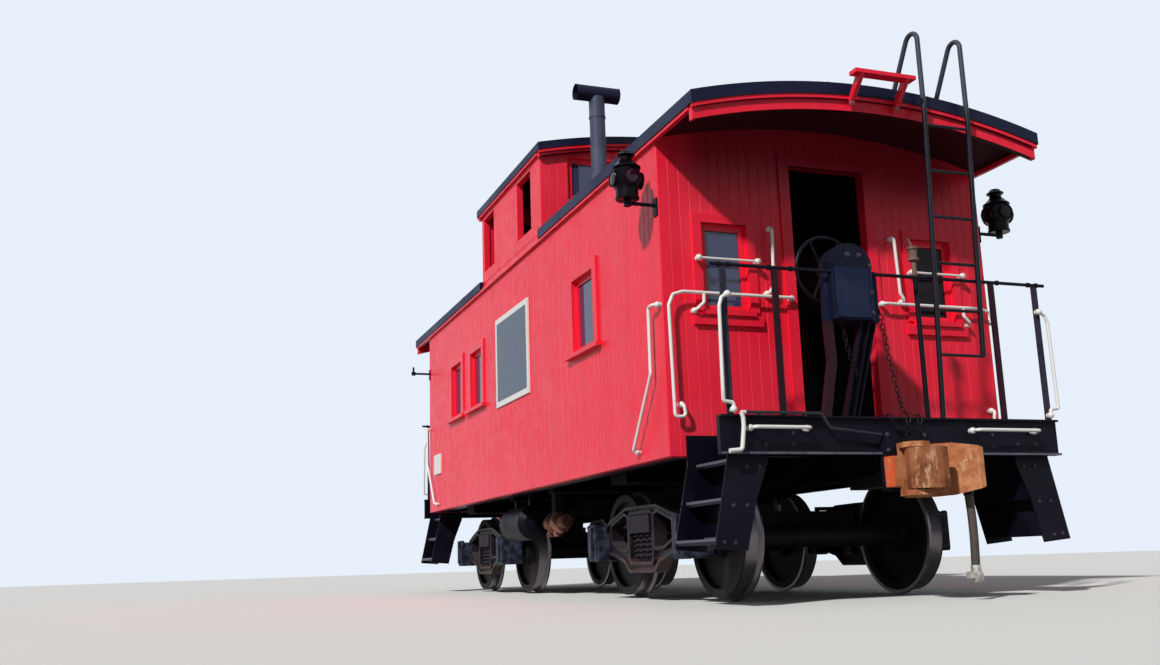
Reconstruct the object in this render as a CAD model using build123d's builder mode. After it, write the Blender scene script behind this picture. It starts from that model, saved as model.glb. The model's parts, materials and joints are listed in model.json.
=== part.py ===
from build123d import *

import os
from math import atan2, degrees, radians, sqrt, tan

# Cupola caboose with a vertically sheathed body on two four-wheel trucks.
# Millimetres. +X is the end with the open door, +Z is up, z = 0 is under the wheel flanges.
# The ends are alike by a half turn about Z, so each end piece is made at the +X end and turned.

# Wheels, axles and trucks
FLANGE_RADIUS = 447.0
TREAD_RADIUS = 419.0
BACK_TO_BACK = 1356.0
WHEEL_WIDTH = 140.0
FLANGE_WIDTH = 34.0
FLANGE_BEVEL = 6.0
PLATE_THICKNESS = 32.0
HUB_RADIUS = 130.0
AXLE_RADIUS = 82.0
AXLE_HALF = 1085.0
RIM_DEPTH = 60.0
HUB_PROUD = 30.0
HUB_INBOARD = 20.0
HUB_FLARE = 14.0
PLATE_SWELL = 16.0
RIM_SWELL = 10.0
AXLE_COLLAR = 6.0
COLLAR_TAPER = 60.0
JOURNAL_RADIUS = 64.0
JOURNAL_Y = 990.0
TRUCK_X = 2273.0
WHEELBASE = 1708.0
AXLE_Z = FLANGE_RADIUS
RUNNING_CLEARANCE = 0.05
FIT_GAP = 0.3

# Cabin
WALL_X = 3607.0
WALL_Y = 1380.0
WALL_THICKNESS = 70.0
WALL_BOTTOM_Z = 982.0
FLOOR_Z = 1184.0
FLOOR_THICKNESS = 60.0

# Main roof, an arched slab whose black edge shows all round
ROOF_X = 4289.0
ROOF_OVERHANG = 40.0
EAVE_Z = 3320.0
ROOF_RISE = 195.0
ROOF_THICKNESS = 85.0
FASCIA_HEIGHT = 105.0
FASCIA_THICKNESS = 45.0
MOULDING_HEIGHT = 32.0
MOULDING_DEPTH = 22.0
ROOF_MOULDING_HEIGHT = 28.0
ROOF_MOULDING_DEPTH = 24.0
ROOF_EDGE_LIP = 8.0

# Cupola
CUPOLA_X = 29.0
CUPOLA_LENGTH = 2022.0
CUPOLA_EAVE_Z = 4146.0
CUPOLA_RISE = 168.0
CUPOLA_ROOF_THICKNESS = 70.0
CUPOLA_OVERHANG = 85.0
CUPOLA_WALL = 60.0
CUPOLA_FASCIA_HEIGHT = 55.0

# Doors and windows
DOOR_HALF = 320.0
DOOR_TOP_Z = 3131.0
DOOR_THICKNESS = 45.0
DOOR_CLEARANCE = 6.0
DOOR_SETBACK = 4.0
DOOR_STILE = 115.0
DOOR_GLASS_LOW_Z = 2080.0
DOOR_GLASS_HIGH_Z = 2850.0
HINGE_Z = (1400.0, 2150.0, 2900.0)
HINGE_BARREL = 9.0
HINGE_PIN = 4.0
HINGE_LENGTH = 50.0
HINGE_PLATE = 45.0
CASING_WIDTH = 85.0
CASING_DEPTH = 22.0
END_CASING = 66.0
SILL_DEPTH = 55.0
SILL_HEIGHT = 34.0
SILL_REACH = 22.0
SIDE_SILL_REACH = 55.0
APRON_DEPTH = 34.0
APRON_HEIGHT = 68.0
SASH_FRAME = 48.0
SASH_THICKNESS = 30.0
GLASS_THICKNESS = 6.0

# Platforms, end sills and steps
END_SILL_X = 4267.0
END_SILL_INSET = 59.0
END_SILL_BOTTOM_Z = 937.0
END_SILL_WEB = 40.0
END_SILL_FLANGE = 30.0
END_SILL_PLATE = 14.0
PLATFORM_HALF = 975.0
STEP_NEAR_X = 4197.0
STEP_FAR_X = WALL_X
STEP_PLATE = 12.0
TREAD_DEPTH = 215.0
TREAD_THICKNESS = 34.0
RISER_THICKNESS = 10.0

# Coupler and the striker casting that it passes through
COUPLER_Z = 815.0
SHANK_HALF = 64.0
SHANK_HEIGHT = 150.0
SHANK_CLEARANCE = 10.0
SHANK_BACK_X = 3720.0
STRIKER_X = 4312.0
STRIKER_HALF = 160.0
STRIKER_BOTTOM_Z = 700.0
STRIKER_TOP_Z = 1083.0
HEAD_HALF_HEIGHT = 165.0
KNUCKLE_HALF_HEIGHT = 126.0
KNUCKLE_CLEARANCE = 6.0
KNUCKLE_PIN_RADIUS = 21.0

# Underframe
CENTRE_SILL_INNER = 130.0
CENTRE_SILL_WIDTH = 100.0
CENTRE_SILL_BOTTOM_Z = 790.0
CENTRE_SILL_WEB = 18.0
SIDE_SILL_WIDTH = 100.0
BOLSTER_LENGTH = 320.0
BOLSTER_BOTTOM_Z = 900.0
CENTRE_PLATE_RADIUS = 160.0
CENTRE_PLATE_Z = 715.0
CENTRE_PLATE_GAP = 0.5
CENTRE_SEAT = 20.0

# Trucks
TRUCK_BOLSTER_HALF = 900.0
TRUCK_BOLSTER_LENGTH = 330.0
BOLSTER_LOW_Z = 520.0
BOLSTER_TOP_Z = 660.0
BOLSTER_END = 60.0
BOLSTER_END_OUT = 70.0
BOLSTER_PLAY = 8.0
SPRING_SEAT_RADIUS = 34.0
SPRING_PITCH = 118.0
BOWL_RIM = 30.0
SIDE_FRAME_THICKNESS = 110.0
FRAME_WEB = 56.0
FRAME_FLANGE = 24.0
FRAME_ROUND = 24.0
JOURNAL_BOX_HALF = 112.0
JOURNAL_BOX_DROP = 135.0
JOURNAL_BOX_RISE = 146.0
JOURNAL_BOX_IN = 900.0
JOURNAL_BOX_OUT = 1112.0
JOURNAL_BORE_END = 1105.0
BOX_ROUND = 22.0
LID_HALF = 94.0
LID_THICKNESS = 15.0
LID_RIB = 34.0
LID_RIB_OUT = 20.0
LID_LUG = 22.0
LID_LUG_WIDTH = 31.0
HANGER_X = 300.0
HANGER_WIDTH = 30.0
HANGER_Z = (500.0, 715.0)
HANGER_ARM_Z = 684.0
BEAM_HALF = 800.0
BEAM_Z = (380.0, 450.0)
BEAM_DEPTH = 60.0
SHOE_Z = (320.0, 520.0)
SHOE_IN = 720.0
SHOE_CLEARANCE = 7.0

# Ironwork
BAR_BEND = 60.0
RAIL_DIAMETER = 24.0
RAIL_BEND = 26.0
MOUNT_SOCKET = 38.0
SOCKET_LENGTH = 30.0
SOCKET_LIFT = 23.0
TOP_RAIL_DIAMETER = 24.0
TOP_RAIL_REACH = 90.0
LADDER_BAR = 36.0
RUNG_DIAMETER = 22.0
LADDER_LEFT_Y = 375.0
LADDER_RIGHT_Y = 743.0
RUNG_SPACING = 330.0
POST_X = 4252.0
OUTER_POST_Y = 1250.0
INNER_POST_Y = 870.0
POST_WIDTH = 44.0
POST_THICKNESS = 16.0
TOP_RAIL_Z = 2155.0
HOSE_DIAMETER = 54.0
HOUSING_LOW_Y = -440.0
HOUSING_HIGH_Y = -125.0

roof_half = WALL_Y + ROOF_OVERHANG
end_sill_half = WALL_Y - END_SILL_INSET
axle_x = [side * WHEELBASE / 2 for side in (1, -1)]
roof_radius = (roof_half**2 + ROOF_RISE**2) / (2 * ROOF_RISE)
roof_axis_z = EAVE_Z + ROOF_RISE - roof_radius
under_radius = roof_radius - ROOF_THICKNESS
cupola_radius = (roof_half**2 + CUPOLA_RISE**2) / (2 * CUPOLA_RISE)
cupola_axis_z = CUPOLA_EAVE_Z + CUPOLA_RISE - cupola_radius
cupola_under_radius = cupola_radius - CUPOLA_ROOF_THICKNESS
cupola_near = CUPOLA_X + CUPOLA_LENGTH / 2
cupola_far = CUPOLA_X - CUPOLA_LENGTH / 2
wall_inner_x = WALL_X - WALL_THICKNESS
wall_inner_y = WALL_Y - WALL_THICKNESS
hinge_pin_x = wall_inner_x - HINGE_BARREL - 1
hinge_pin_y = -DOOR_HALF


def arch_z(radius, axis_z, y):
    """Height of an arch at the distance y from the centre line."""
    return axis_z + sqrt(radius**2 - y**2)


side_top = arch_z(under_radius, roof_axis_z, WALL_Y)

# Window openings of one side wall: low x, high x, low z, high z
SIDE_WINDOWS = [
    (1850.0, 2330.0, 2000.0, 2620.0),
    (-1505.0, -1045.0, 2000.0, 2620.0),
    (-2380.0, -1920.0, 2000.0, 2620.0),
]
# Window openings of one end wall: low y, high y, low z, high z
END_WINDOWS = [(-1065.0, -700.0, 2000.0, 2640.0), (700.0, 1065.0, 2000.0, 2640.0)]
# Open window holes of one cupola side: low x, high x, low z, high z
CUPOLA_SIDE_WINDOWS = [(-910.0, -520.0, 3420.0, 4000.0), (312.0, 752.0, 3420.0, 4000.0)]
# Glazed window holes of one cupola end: low y, high y, low z, high z
CUPOLA_END_WINDOWS = [(-1105.0, -470.0, 3640.0, 4050.0), (470.0, 1105.0, 3640.0, 4050.0)]


def board(x, y, z, mode=Mode.ADD):
    """A square-cut piece between two limits along each axis."""
    with Locations(((x[0] + x[1]) / 2, (y[0] + y[1]) / 2, (z[0] + z[1]) / 2)):
        Box(x[1] - x[0], y[1] - y[0], z[1] - z[0], mode=mode)


def bar(points, diameter, bend=BAR_BEND):
    """A round bar through points, bent to one radius at each corner."""
    with BuildLine() as route:
        if len(points) == 2:
            Line(*points)
        else:
            FilletPolyline(*points, radius=bend)
    with BuildSketch(Plane(origin=route.line @ 0, z_dir=route.line % 0)) as section:
        Circle(diameter / 2)
    sweep(sections=section.sketch, path=route.line)


def arched_face(half, radius_out, axis_out, radius_in, axis_in):
    """A face between two arches, square at its ends."""
    out_z = arch_z(radius_out, axis_out, half)
    in_z = arch_z(radius_in, axis_in, half)
    with BuildLine() as outline:
        ThreePointArc((-half, out_z), (0, axis_out + radius_out), (half, out_z))
        Line((half, out_z), (half, in_z))
        ThreePointArc((half, in_z), (0, axis_in + radius_in), (-half, in_z))
        Line((-half, in_z), (-half, out_z))
    make_face(outline.edges())


def hole(low_u, high_u, low_v, high_v, mode=Mode.SUBTRACT):
    """A rectangle between limits on the current sketch."""
    with Locations(((low_u + high_u) / 2, (low_v + high_v) / 2)):
        Rectangle(high_u - low_u, high_v - low_v, mode=mode)


# Wheelsets: a wheel profile from the hub out, turned about the axle
wheel_inner = BACK_TO_BACK / 2
wheel_outer = wheel_inner + WHEEL_WIDTH
plate_mid = wheel_inner + WHEEL_WIDTH / 2


def wheelset(centre_x):
    """Axle with two flanged wheels, on the truck's own journals."""
    rim_inner = TREAD_RADIUS - RIM_DEPTH
    with BuildSketch(Plane(origin=(centre_x, 0, AXLE_Z), x_dir=(1, 0, 0), z_dir=(0, 0, 1))) as half:
        with BuildLine() as outline:
            Polyline(
                (0, 0),
                (0, AXLE_HALF),
                (JOURNAL_RADIUS, AXLE_HALF),
                (JOURNAL_RADIUS, wheel_outer + HUB_PROUD),
                (HUB_RADIUS, wheel_outer + HUB_PROUD),
                (HUB_RADIUS + HUB_FLARE, plate_mid + PLATE_THICKNESS / 2 + PLATE_SWELL),
                (rim_inner, plate_mid + PLATE_THICKNESS / 2 + RIM_SWELL),
                (rim_inner, wheel_outer),
                (TREAD_RADIUS, wheel_outer),
                (TREAD_RADIUS, wheel_inner + FLANGE_WIDTH),
                (FLANGE_RADIUS, wheel_inner + FLANGE_WIDTH / 2),
                (FLANGE_RADIUS - FLANGE_BEVEL, wheel_inner),
                (rim_inner, wheel_inner),
                (rim_inner, plate_mid - PLATE_THICKNESS / 2),
                (HUB_RADIUS + HUB_FLARE, plate_mid - PLATE_THICKNESS / 2),
                (HUB_RADIUS, wheel_inner - HUB_INBOARD),
                (AXLE_RADIUS + AXLE_COLLAR, wheel_inner - HUB_INBOARD),
                (AXLE_RADIUS, wheel_inner - COLLAR_TAPER),
                (AXLE_RADIUS, 0),
                close=True,
            )
        make_face(outline.edges())
    revolve(profiles=half.sketch, axis=Axis((centre_x, 0, AXLE_Z), (0, 1, 0)))
    mirror(about=Plane.XZ)


with BuildPart() as wheelset_1:
    wheelset(TRUCK_X + WHEELBASE / 2)

with BuildPart() as wheelset_2:
    wheelset(TRUCK_X - WHEELBASE / 2)

with BuildPart() as wheelset_3:
    wheelset(-TRUCK_X + WHEELBASE / 2)

with BuildPart() as wheelset_4:
    wheelset(-TRUCK_X - WHEELBASE / 2)

# Side frames: arched castings of I section with a journal box at each end
# Half outline from the centre of the truck: x from the centre, z
FRAME_TOP = [(0.0, 730.0), (300.0, 727.0), (526.0, 668.0), (700.0, 612.0), (748.0, 560.0)]
FRAME_FOOT = [(748.0, 366.0), (560.0, 346.0), (350.0, 296.0), (250.0, 215.0), (0.0, 215.0)]
# Openings beside the bolster's: x from the centre, z
FRAME_WINDOW = [
    (264.0, 652.0),
    (335.0, 664.0),
    (608.0, 584.0),
    (596.0, 470.0),
    (430.0, 412.0),
    (264.0, 400.0),
]
BOLSTER_WINDOW = [(-215.0, 215.0), (300.0, 664.0)]


def frame_face(points):
    """A rounded face through points."""
    with BuildLine() as outline:
        Polyline(*points, close=True)
    make_face(outline.edges())


def flange(face, points, width):
    """The deep edge of a casting along a closed outline, inward when the width is below 0."""
    with BuildSketch(face) as filled:
        frame_face(points)
        fillet(filled.vertices(), FRAME_ROUND)
    with BuildSketch(face) as edge:
        add(filled.sketch_local)
        offset(amount=width, mode=Mode.REPLACE)
        if width > 0:
            add(filled.sketch_local, mode=Mode.SUBTRACT)
    if width > 0:
        extrude(edge.sketch, amount=SIDE_FRAME_THICKNESS / 2, both=True)
    else:
        with BuildSketch(face) as rim:
            add(filled.sketch_local)
            add(edge.sketch_local, mode=Mode.SUBTRACT)
        extrude(rim.sketch, amount=SIDE_FRAME_THICKNESS / 2, both=True)


def journal_box(centre_x, side):
    """A journal box with its ribbed lid, outside the wheel."""
    back = Plane(origin=(centre_x, side * JOURNAL_BOX_IN, AXLE_Z), x_dir=(1, 0, 0), z_dir=(0, side, 0))
    low, high = sorted((side * JOURNAL_BOX_DROP, -side * JOURNAL_BOX_RISE))
    with BuildSketch(back) as box:
        hole(-JOURNAL_BOX_HALF, JOURNAL_BOX_HALF, low, high, mode=Mode.ADD)
        fillet(box.vertices(), BOX_ROUND)
    extrude(box.sketch, amount=JOURNAL_BOX_OUT - JOURNAL_BOX_IN)
    lid_out = JOURNAL_BOX_OUT + LID_THICKNESS
    lid = sorted((side * JOURNAL_BOX_OUT, side * lid_out))
    top_z = AXLE_Z + JOURNAL_BOX_RISE
    board((centre_x - LID_HALF, centre_x + LID_HALF), lid, (AXLE_Z - JOURNAL_BOX_DROP + BOX_ROUND, top_z))
    rib = sorted((side * lid_out, side * (lid_out + LID_RIB_OUT)))
    board((centre_x - LID_RIB, centre_x + LID_RIB), rib, (AXLE_Z - JOURNAL_BOX_DROP + LID_RIB, top_z))
    for x in (-LID_HALF + LID_LUG, 0.0, LID_HALF - LID_LUG):
        with Locations(Location((centre_x + x, side * JOURNAL_BOX_OUT, top_z), (0, 90, 0))):
            Cylinder(LID_LUG, LID_LUG_WIDTH)


def side_frames(centre_x):
    """Both side frames of one truck, with their journal boxes."""
    half = FRAME_TOP + FRAME_FOOT
    outline = half + [(-x, z) for x, z in reversed(half[1:-1])]
    (low_x, high_x), (low_z, high_z) = BOLSTER_WINDOW
    bolster_window = [(low_x, low_z), (high_x, low_z), (high_x, high_z), (low_x, high_z)]
    windows = [bolster_window] + [[(turn * x, z) for x, z in FRAME_WINDOW] for turn in (1, -1)]
    for side in (1, -1):
        face = Plane(origin=(centre_x, side * JOURNAL_Y, 0), x_dir=(1, 0, 0), z_dir=(0, -1, 0))
        with BuildSketch(face) as web:
            frame_face(outline)
            fillet(web.vertices(), FRAME_ROUND)
        extrude(web.sketch, amount=FRAME_WEB / 2, both=True)
        flange(face, outline, -FRAME_FLANGE)
        for window in windows:
            flange(face, window, FRAME_FLANGE)
            with BuildSketch(face) as opening:
                frame_face(window)
                fillet(opening.vertices(), FRAME_ROUND)
            extrude(opening.sketch, amount=SIDE_FRAME_THICKNESS, both=True, mode=Mode.SUBTRACT)
        for x in axle_x:
            journal_box(centre_x + x, side)
            bore_middle = (JOURNAL_BORE_END + JOURNAL_BOX_IN) / 2 - BOX_ROUND
            with Locations(Location((centre_x + x, side * bore_middle, AXLE_Z), (90, 0, 0))):
                Cylinder(
                    JOURNAL_RADIUS + RUNNING_CLEARANCE,
                    2 * (JOURNAL_BORE_END - bore_middle),
                    mode=Mode.SUBTRACT,
                )


with BuildPart() as side_frames_near:
    side_frames(TRUCK_X)

with BuildPart() as side_frames_far:
    side_frames(-TRUCK_X)


def truck_bolster(centre_x):
    """Cross beam on spring seats, with the bowl that the body's centre plate turns in."""
    (low_x, high_x), (low_z, high_z) = BOLSTER_WINDOW
    half = TRUCK_BOLSTER_LENGTH / 2
    board(
        (centre_x - half, centre_x + half),
        (-TRUCK_BOLSTER_HALF, TRUCK_BOLSTER_HALF),
        (BOLSTER_LOW_Z, BOLSTER_TOP_Z),
    )
    for side in (1, -1):
        ends = sorted((side * (TRUCK_BOLSTER_HALF - BOLSTER_END), side * (JOURNAL_Y + BOLSTER_END_OUT)))
        board(
            (centre_x + low_x + BOLSTER_PLAY, centre_x + high_x - BOLSTER_PLAY),
            ends,
            (BOLSTER_LOW_Z, high_z - BOLSTER_PLAY),
        )
        for x in (-SPRING_PITCH, 0.0, SPRING_PITCH):
            with Locations((centre_x + x, side * JOURNAL_Y, low_z)):
                Cylinder(
                    SPRING_SEAT_RADIUS,
                    BOLSTER_LOW_Z - low_z,
                    align=(Align.CENTER, Align.CENTER, Align.MIN),
                )
    bowl_z = CENTRE_PLATE_Z - CENTRE_PLATE_GAP
    with Locations((centre_x, 0, (BOLSTER_TOP_Z + bowl_z) / 2)):
        Cylinder(CENTRE_PLATE_RADIUS + BOWL_RIM, bowl_z - BOLSTER_TOP_Z)


with BuildPart() as truck_bolster_near:
    truck_bolster(TRUCK_X)

with BuildPart() as truck_bolster_far:
    truck_bolster(-TRUCK_X)


def brake_beams(centre_x):
    """Two cross beams with a shoe at each wheel, hung from the side frames."""
    shoe_face = WHEELBASE / 2 - TREAD_RADIUS - SHOE_CLEARANCE
    frame_face_y = JOURNAL_Y - SIDE_FRAME_THICKNESS / 2
    hanger_y = (BEAM_HALF + SHOE_IN) / 2
    for turn in (1, -1):
        beam = sorted((centre_x + turn * HANGER_X, centre_x + turn * (HANGER_X + BEAM_DEPTH)))
        board(beam, (-BEAM_HALF, BEAM_HALF), BEAM_Z)
        shoe = sorted((centre_x + turn * (HANGER_X + BEAM_DEPTH / 3), centre_x + turn * shoe_face))
        hanger = sorted((centre_x + turn * HANGER_X, centre_x + turn * (HANGER_X + HANGER_WIDTH)))
        for side in (1, -1):
            board(shoe, sorted((side * SHOE_IN, side * BEAM_HALF)), SHOE_Z)
            strap = sorted((side * (hanger_y - HANGER_WIDTH / 2), side * (hanger_y + HANGER_WIDTH / 2)))
            board(hanger, strap, HANGER_Z)
            arm = sorted((side * (hanger_y - HANGER_WIDTH / 2), side * frame_face_y))
            board(hanger, arm, (HANGER_ARM_Z, HANGER_Z[1]))


with BuildPart() as brake_beams_near:
    brake_beams(TRUCK_X)

with BuildPart() as brake_beams_far:
    brake_beams(-TRUCK_X)

# Underframe: centre sills of two channels, side sills, bolsters over the trucks, cross bearers
floor_under = FLOOR_Z - FLOOR_THICKNESS
deck_end = END_SILL_X - END_SILL_WEB - END_SILL_FLANGE
centre_sill_out = CENTRE_SILL_INNER + CENTRE_SILL_WIDTH
side_sill_in = wall_inner_y - SIDE_SILL_WIDTH
beam_top_z = floor_under - CENTRE_SILL_WEB
# Cross beams run from the web of a centre sill to the side sill
beam_sides = [sorted((side * (CENTRE_SILL_INNER + CENTRE_SILL_WEB), side * side_sill_in)) for side in (1, -1)]

with BuildPart() as centre_sills:
    for side in (1, -1):
        inner = side * CENTRE_SILL_INNER
        web_face = side * (CENTRE_SILL_INNER + CENTRE_SILL_WEB)
        outer = side * centre_sill_out
        with BuildSketch(Plane.YZ) as channel:
            hole(*sorted((inner, outer)), CENTRE_SILL_BOTTOM_Z, floor_under, mode=Mode.ADD)
            hole(*sorted((web_face, outer)), CENTRE_SILL_BOTTOM_Z + CENTRE_SILL_WEB, beam_top_z)
        extrude(amount=deck_end, both=True)

with BuildPart() as side_sills:
    for side in (1, -1):
        ends = sorted((side * wall_inner_y, side * side_sill_in))
        board((-wall_inner_x, wall_inner_x), ends, (WALL_BOTTOM_Z, floor_under))

with BuildPart() as body_bolsters:
    half = BOLSTER_LENGTH / 2
    for x in (TRUCK_X, -TRUCK_X):
        for ends in beam_sides:
            board((x - half, x + half), ends, (BOLSTER_BOTTOM_Z, beam_top_z))
        filler = (-CENTRE_SILL_INNER, CENTRE_SILL_INNER)
        board((x - half, x + half), filler, (CENTRE_SILL_BOTTOM_Z, beam_top_z))
        seat = (-centre_sill_out, centre_sill_out)
        board((x - half, x + half), seat, (CENTRE_SILL_BOTTOM_Z - CENTRE_SEAT, CENTRE_SILL_BOTTOM_Z))
        with Locations((x, 0, CENTRE_PLATE_Z)):
            Cylinder(
                CENTRE_PLATE_RADIUS,
                CENTRE_SILL_BOTTOM_Z - CENTRE_SEAT - CENTRE_PLATE_Z,
                align=(Align.CENTER, Align.CENTER, Align.MIN),
            )

# Cross bearers amidships and under the end walls: middle x, half length, bottom z
CROSS_BEARERS = [
    (620.0, 70.0, WALL_BOTTOM_Z - 40),
    (wall_inner_x - 60, 60.0, WALL_BOTTOM_Z),
]
with BuildPart() as cross_bearers:
    for middle_x, half, bottom_z in CROSS_BEARERS:
        for x in (middle_x, -middle_x):
            for ends in beam_sides:
                board((x - half, x + half), ends, (bottom_z, beam_top_z))

# End sills: a channel with its flanges outward, its web behind the coupler
with BuildPart() as end_sills:
    flange_back = END_SILL_X - END_SILL_FLANGE
    width = (-end_sill_half, end_sill_half)
    board((flange_back - END_SILL_WEB, flange_back), width, (END_SILL_BOTTOM_Z, FLOOR_Z))
    for low in (END_SILL_BOTTOM_Z, FLOOR_Z - END_SILL_PLATE):
        board((flange_back, END_SILL_X), width, (low, low + END_SILL_PLATE))
    board((flange_back, STRIKER_X), (-STRIKER_HALF, STRIKER_HALF), (STRIKER_BOTTOM_Z, STRIKER_TOP_Z))
    throat = SHANK_HALF + SHANK_CLEARANCE
    board(
        (flange_back, STRIKER_X),
        (-throat, throat),
        (COUPLER_Z - SHANK_HEIGHT / 2 - FIT_GAP, COUPLER_Z + SHANK_HEIGHT / 2 + SHANK_CLEARANCE),
        mode=Mode.SUBTRACT,
    )
    add(end_sills.part.rotate(Axis.Z, 180))

# Floor: one deck through the cabin and over both platforms
with BuildPart() as floor_deck:
    board((-deck_end, deck_end), (-PLATFORM_HALF, PLATFORM_HALF), (floor_under, FLOOR_Z))
    board((-wall_inner_x, wall_inner_x), (-wall_inner_y, wall_inner_y), (floor_under, FLOOR_Z))

# Side walls, with the openings cut through
with BuildPart() as side_walls:
    for side in (1, -1):
        outer = Plane(origin=(0, side * WALL_Y, 0), x_dir=(1, 0, 0), z_dir=(0, -1, 0))
        with BuildSketch(outer) as sheathing:
            hole(-wall_inner_x, wall_inner_x, WALL_BOTTOM_Z, side_top, mode=Mode.ADD)
            for low_x, high_x, low_z, high_z in SIDE_WINDOWS:
                ends = sorted((-side * low_x, -side * high_x))
                hole(*ends, low_z, high_z)
        extrude(sheathing.sketch, amount=side * WALL_THICKNESS)

# End walls, cut for the door, the windows and the deck that runs out to the platform
with BuildPart() as end_walls:
    with BuildSketch(Plane.YZ.offset(WALL_X)) as sheathing:
        corner_z = arch_z(under_radius, roof_axis_z, WALL_Y)
        with BuildLine() as outline:
            ThreePointArc((-WALL_Y, corner_z), (0, roof_axis_z + under_radius), (WALL_Y, corner_z))
            Polyline(
                (WALL_Y, corner_z),
                (WALL_Y, WALL_BOTTOM_Z),
                (-WALL_Y, WALL_BOTTOM_Z),
                (-WALL_Y, corner_z),
            )
        make_face()
        hole(-PLATFORM_HALF, PLATFORM_HALF, WALL_BOTTOM_Z, FLOOR_Z)
        hole(-DOOR_HALF, DOOR_HALF, FLOOR_Z, DOOR_TOP_Z)
        for low_y, high_y, low_z, high_z in END_WINDOWS:
            hole(low_y, high_y, low_z, high_z)
    extrude(amount=-WALL_THICKNESS)
    for z in HINGE_Z:
        for end in (-1, 1):
            inner = z + end * (HINGE_LENGTH / 2 + FIT_GAP)
            outer = z + end * HINGE_LENGTH
            with Locations((hinge_pin_x, hinge_pin_y, (inner + outer) / 2)):
                Cylinder(HINGE_BARREL, abs(outer - inner))
            board(
                (hinge_pin_x + HINGE_BARREL - 4, wall_inner_x),
                (hinge_pin_y - HINGE_PLATE, hinge_pin_y),
                sorted((inner, outer)),
            )
        with Locations((hinge_pin_x, hinge_pin_y, z)):
            Cylinder(HINGE_PIN, 2 * HINGE_LENGTH)
    add(end_walls.part.rotate(Axis.Z, 180))

# Main roof, in two lengths that stop against the cupola
with BuildPart() as main_roof:
    for start, end in ((cupola_near, ROOF_X), (-ROOF_X, cupola_far)):
        with BuildSketch(Plane.YZ.offset(start)) as arch:
            arched_face(roof_half, roof_radius, roof_axis_z, under_radius, roof_axis_z)
        extrude(arch.sketch, amount=end - start)

# Cupola: side walls flush with the cabin's, end walls standing on the roof's ends
with BuildPart() as cupola_walls:
    cupola_corner = arch_z(cupola_under_radius, cupola_axis_z, WALL_Y)
    for side in (1, -1):
        outer = Plane(origin=(0, side * WALL_Y, 0), x_dir=(1, 0, 0), z_dir=(0, -1, 0))
        with BuildSketch(outer) as sheathing:
            hole(cupola_far, cupola_near, side_top, cupola_corner, mode=Mode.ADD)
            for window in CUPOLA_SIDE_WINDOWS:
                hole(*window)
        extrude(sheathing.sketch, amount=side * CUPOLA_WALL)
    for face_x, turn in ((cupola_near, -1), (cupola_far, 1)):
        with BuildSketch(Plane.YZ.offset(face_x)) as sheathing:
            arched_face(WALL_Y, cupola_under_radius, cupola_axis_z, under_radius, roof_axis_z)
            for window in CUPOLA_END_WINDOWS:
                hole(*window)
        extrude(sheathing.sketch, amount=turn * CUPOLA_WALL)

with BuildPart() as cupola_roof:
    with BuildSketch(Plane.YZ.offset(cupola_far - CUPOLA_OVERHANG)) as arch:
        arched_face(roof_half, cupola_radius, cupola_axis_z, cupola_under_radius, cupola_axis_z)
    extrude(amount=CUPOLA_LENGTH + 2 * CUPOLA_OVERHANG)

# Red boards under the roofs' edges: a moulding under the black edge, and a fascia set back behind it
def arched_board(start, thickness, radius, axis_z, height, lip):
    """A board under an arched roof, square across its end."""
    with BuildSketch(Plane.YZ.offset(start)) as arch:
        arched_face(roof_half - lip, radius, axis_z, radius - height, axis_z)
    extrude(arch.sketch, amount=thickness)


# Arched end boards: outer x, radius, arch axis z, fascia height
END_BOARDS = [
    (ROOF_X, under_radius, roof_axis_z, FASCIA_HEIGHT),
    (cupola_near + CUPOLA_OVERHANG, cupola_under_radius, cupola_axis_z, CUPOLA_FASCIA_HEIGHT),
]
# Straight boards along the walls and the eaves: arch radius, arch axis z, near end x, far end x
EAVES = [
    (under_radius, roof_axis_z, ROOF_X, -ROOF_X),
    (cupola_under_radius, cupola_axis_z, cupola_near + CUPOLA_OVERHANG, cupola_far - CUPOLA_OVERHANG),
]
with BuildPart() as roof_fascias:
    for outer_x, radius, axis_z, height in END_BOARDS:
        back = outer_x - ROOF_EDGE_LIP - ROOF_MOULDING_DEPTH
        arched_board(back, ROOF_MOULDING_DEPTH, radius, axis_z, ROOF_MOULDING_HEIGHT, ROOF_EDGE_LIP)
        arched_board(back - FASCIA_THICKNESS, FASCIA_THICKNESS, radius, axis_z, height, 2 * ROOF_EDGE_LIP)
        far_x = 2 * CUPOLA_X - outer_x if outer_x < ROOF_X else -outer_x
        front = far_x + ROOF_EDGE_LIP
        arched_board(front, ROOF_MOULDING_DEPTH, radius, axis_z, ROOF_MOULDING_HEIGHT, ROOF_EDGE_LIP)
        front += ROOF_MOULDING_DEPTH
        arched_board(front, FASCIA_THICKNESS, radius, axis_z, height, 2 * ROOF_EDGE_LIP)
    end_depth = ROOF_EDGE_LIP + ROOF_MOULDING_DEPTH + FASCIA_THICKNESS + FIT_GAP
    for radius, axis_z, near_end, far_end in EAVES:
        ends = (far_end + end_depth, near_end - end_depth)
        for side in (1, -1):
            wall_face = sorted((side * WALL_Y, side * (WALL_Y + MOULDING_DEPTH)))
            top_z = arch_z(radius, axis_z, WALL_Y + MOULDING_DEPTH)
            board(ends, wall_face, (top_z - MOULDING_HEIGHT, top_z))
            edge_y = roof_half - ROOF_EDGE_LIP
            eave = sorted((side * (edge_y - ROOF_EDGE_LIP), side * edge_y))
            top_z = arch_z(radius, axis_z, edge_y)
            board(ends, eave, (top_z - ROOF_MOULDING_HEIGHT, top_z))


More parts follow.
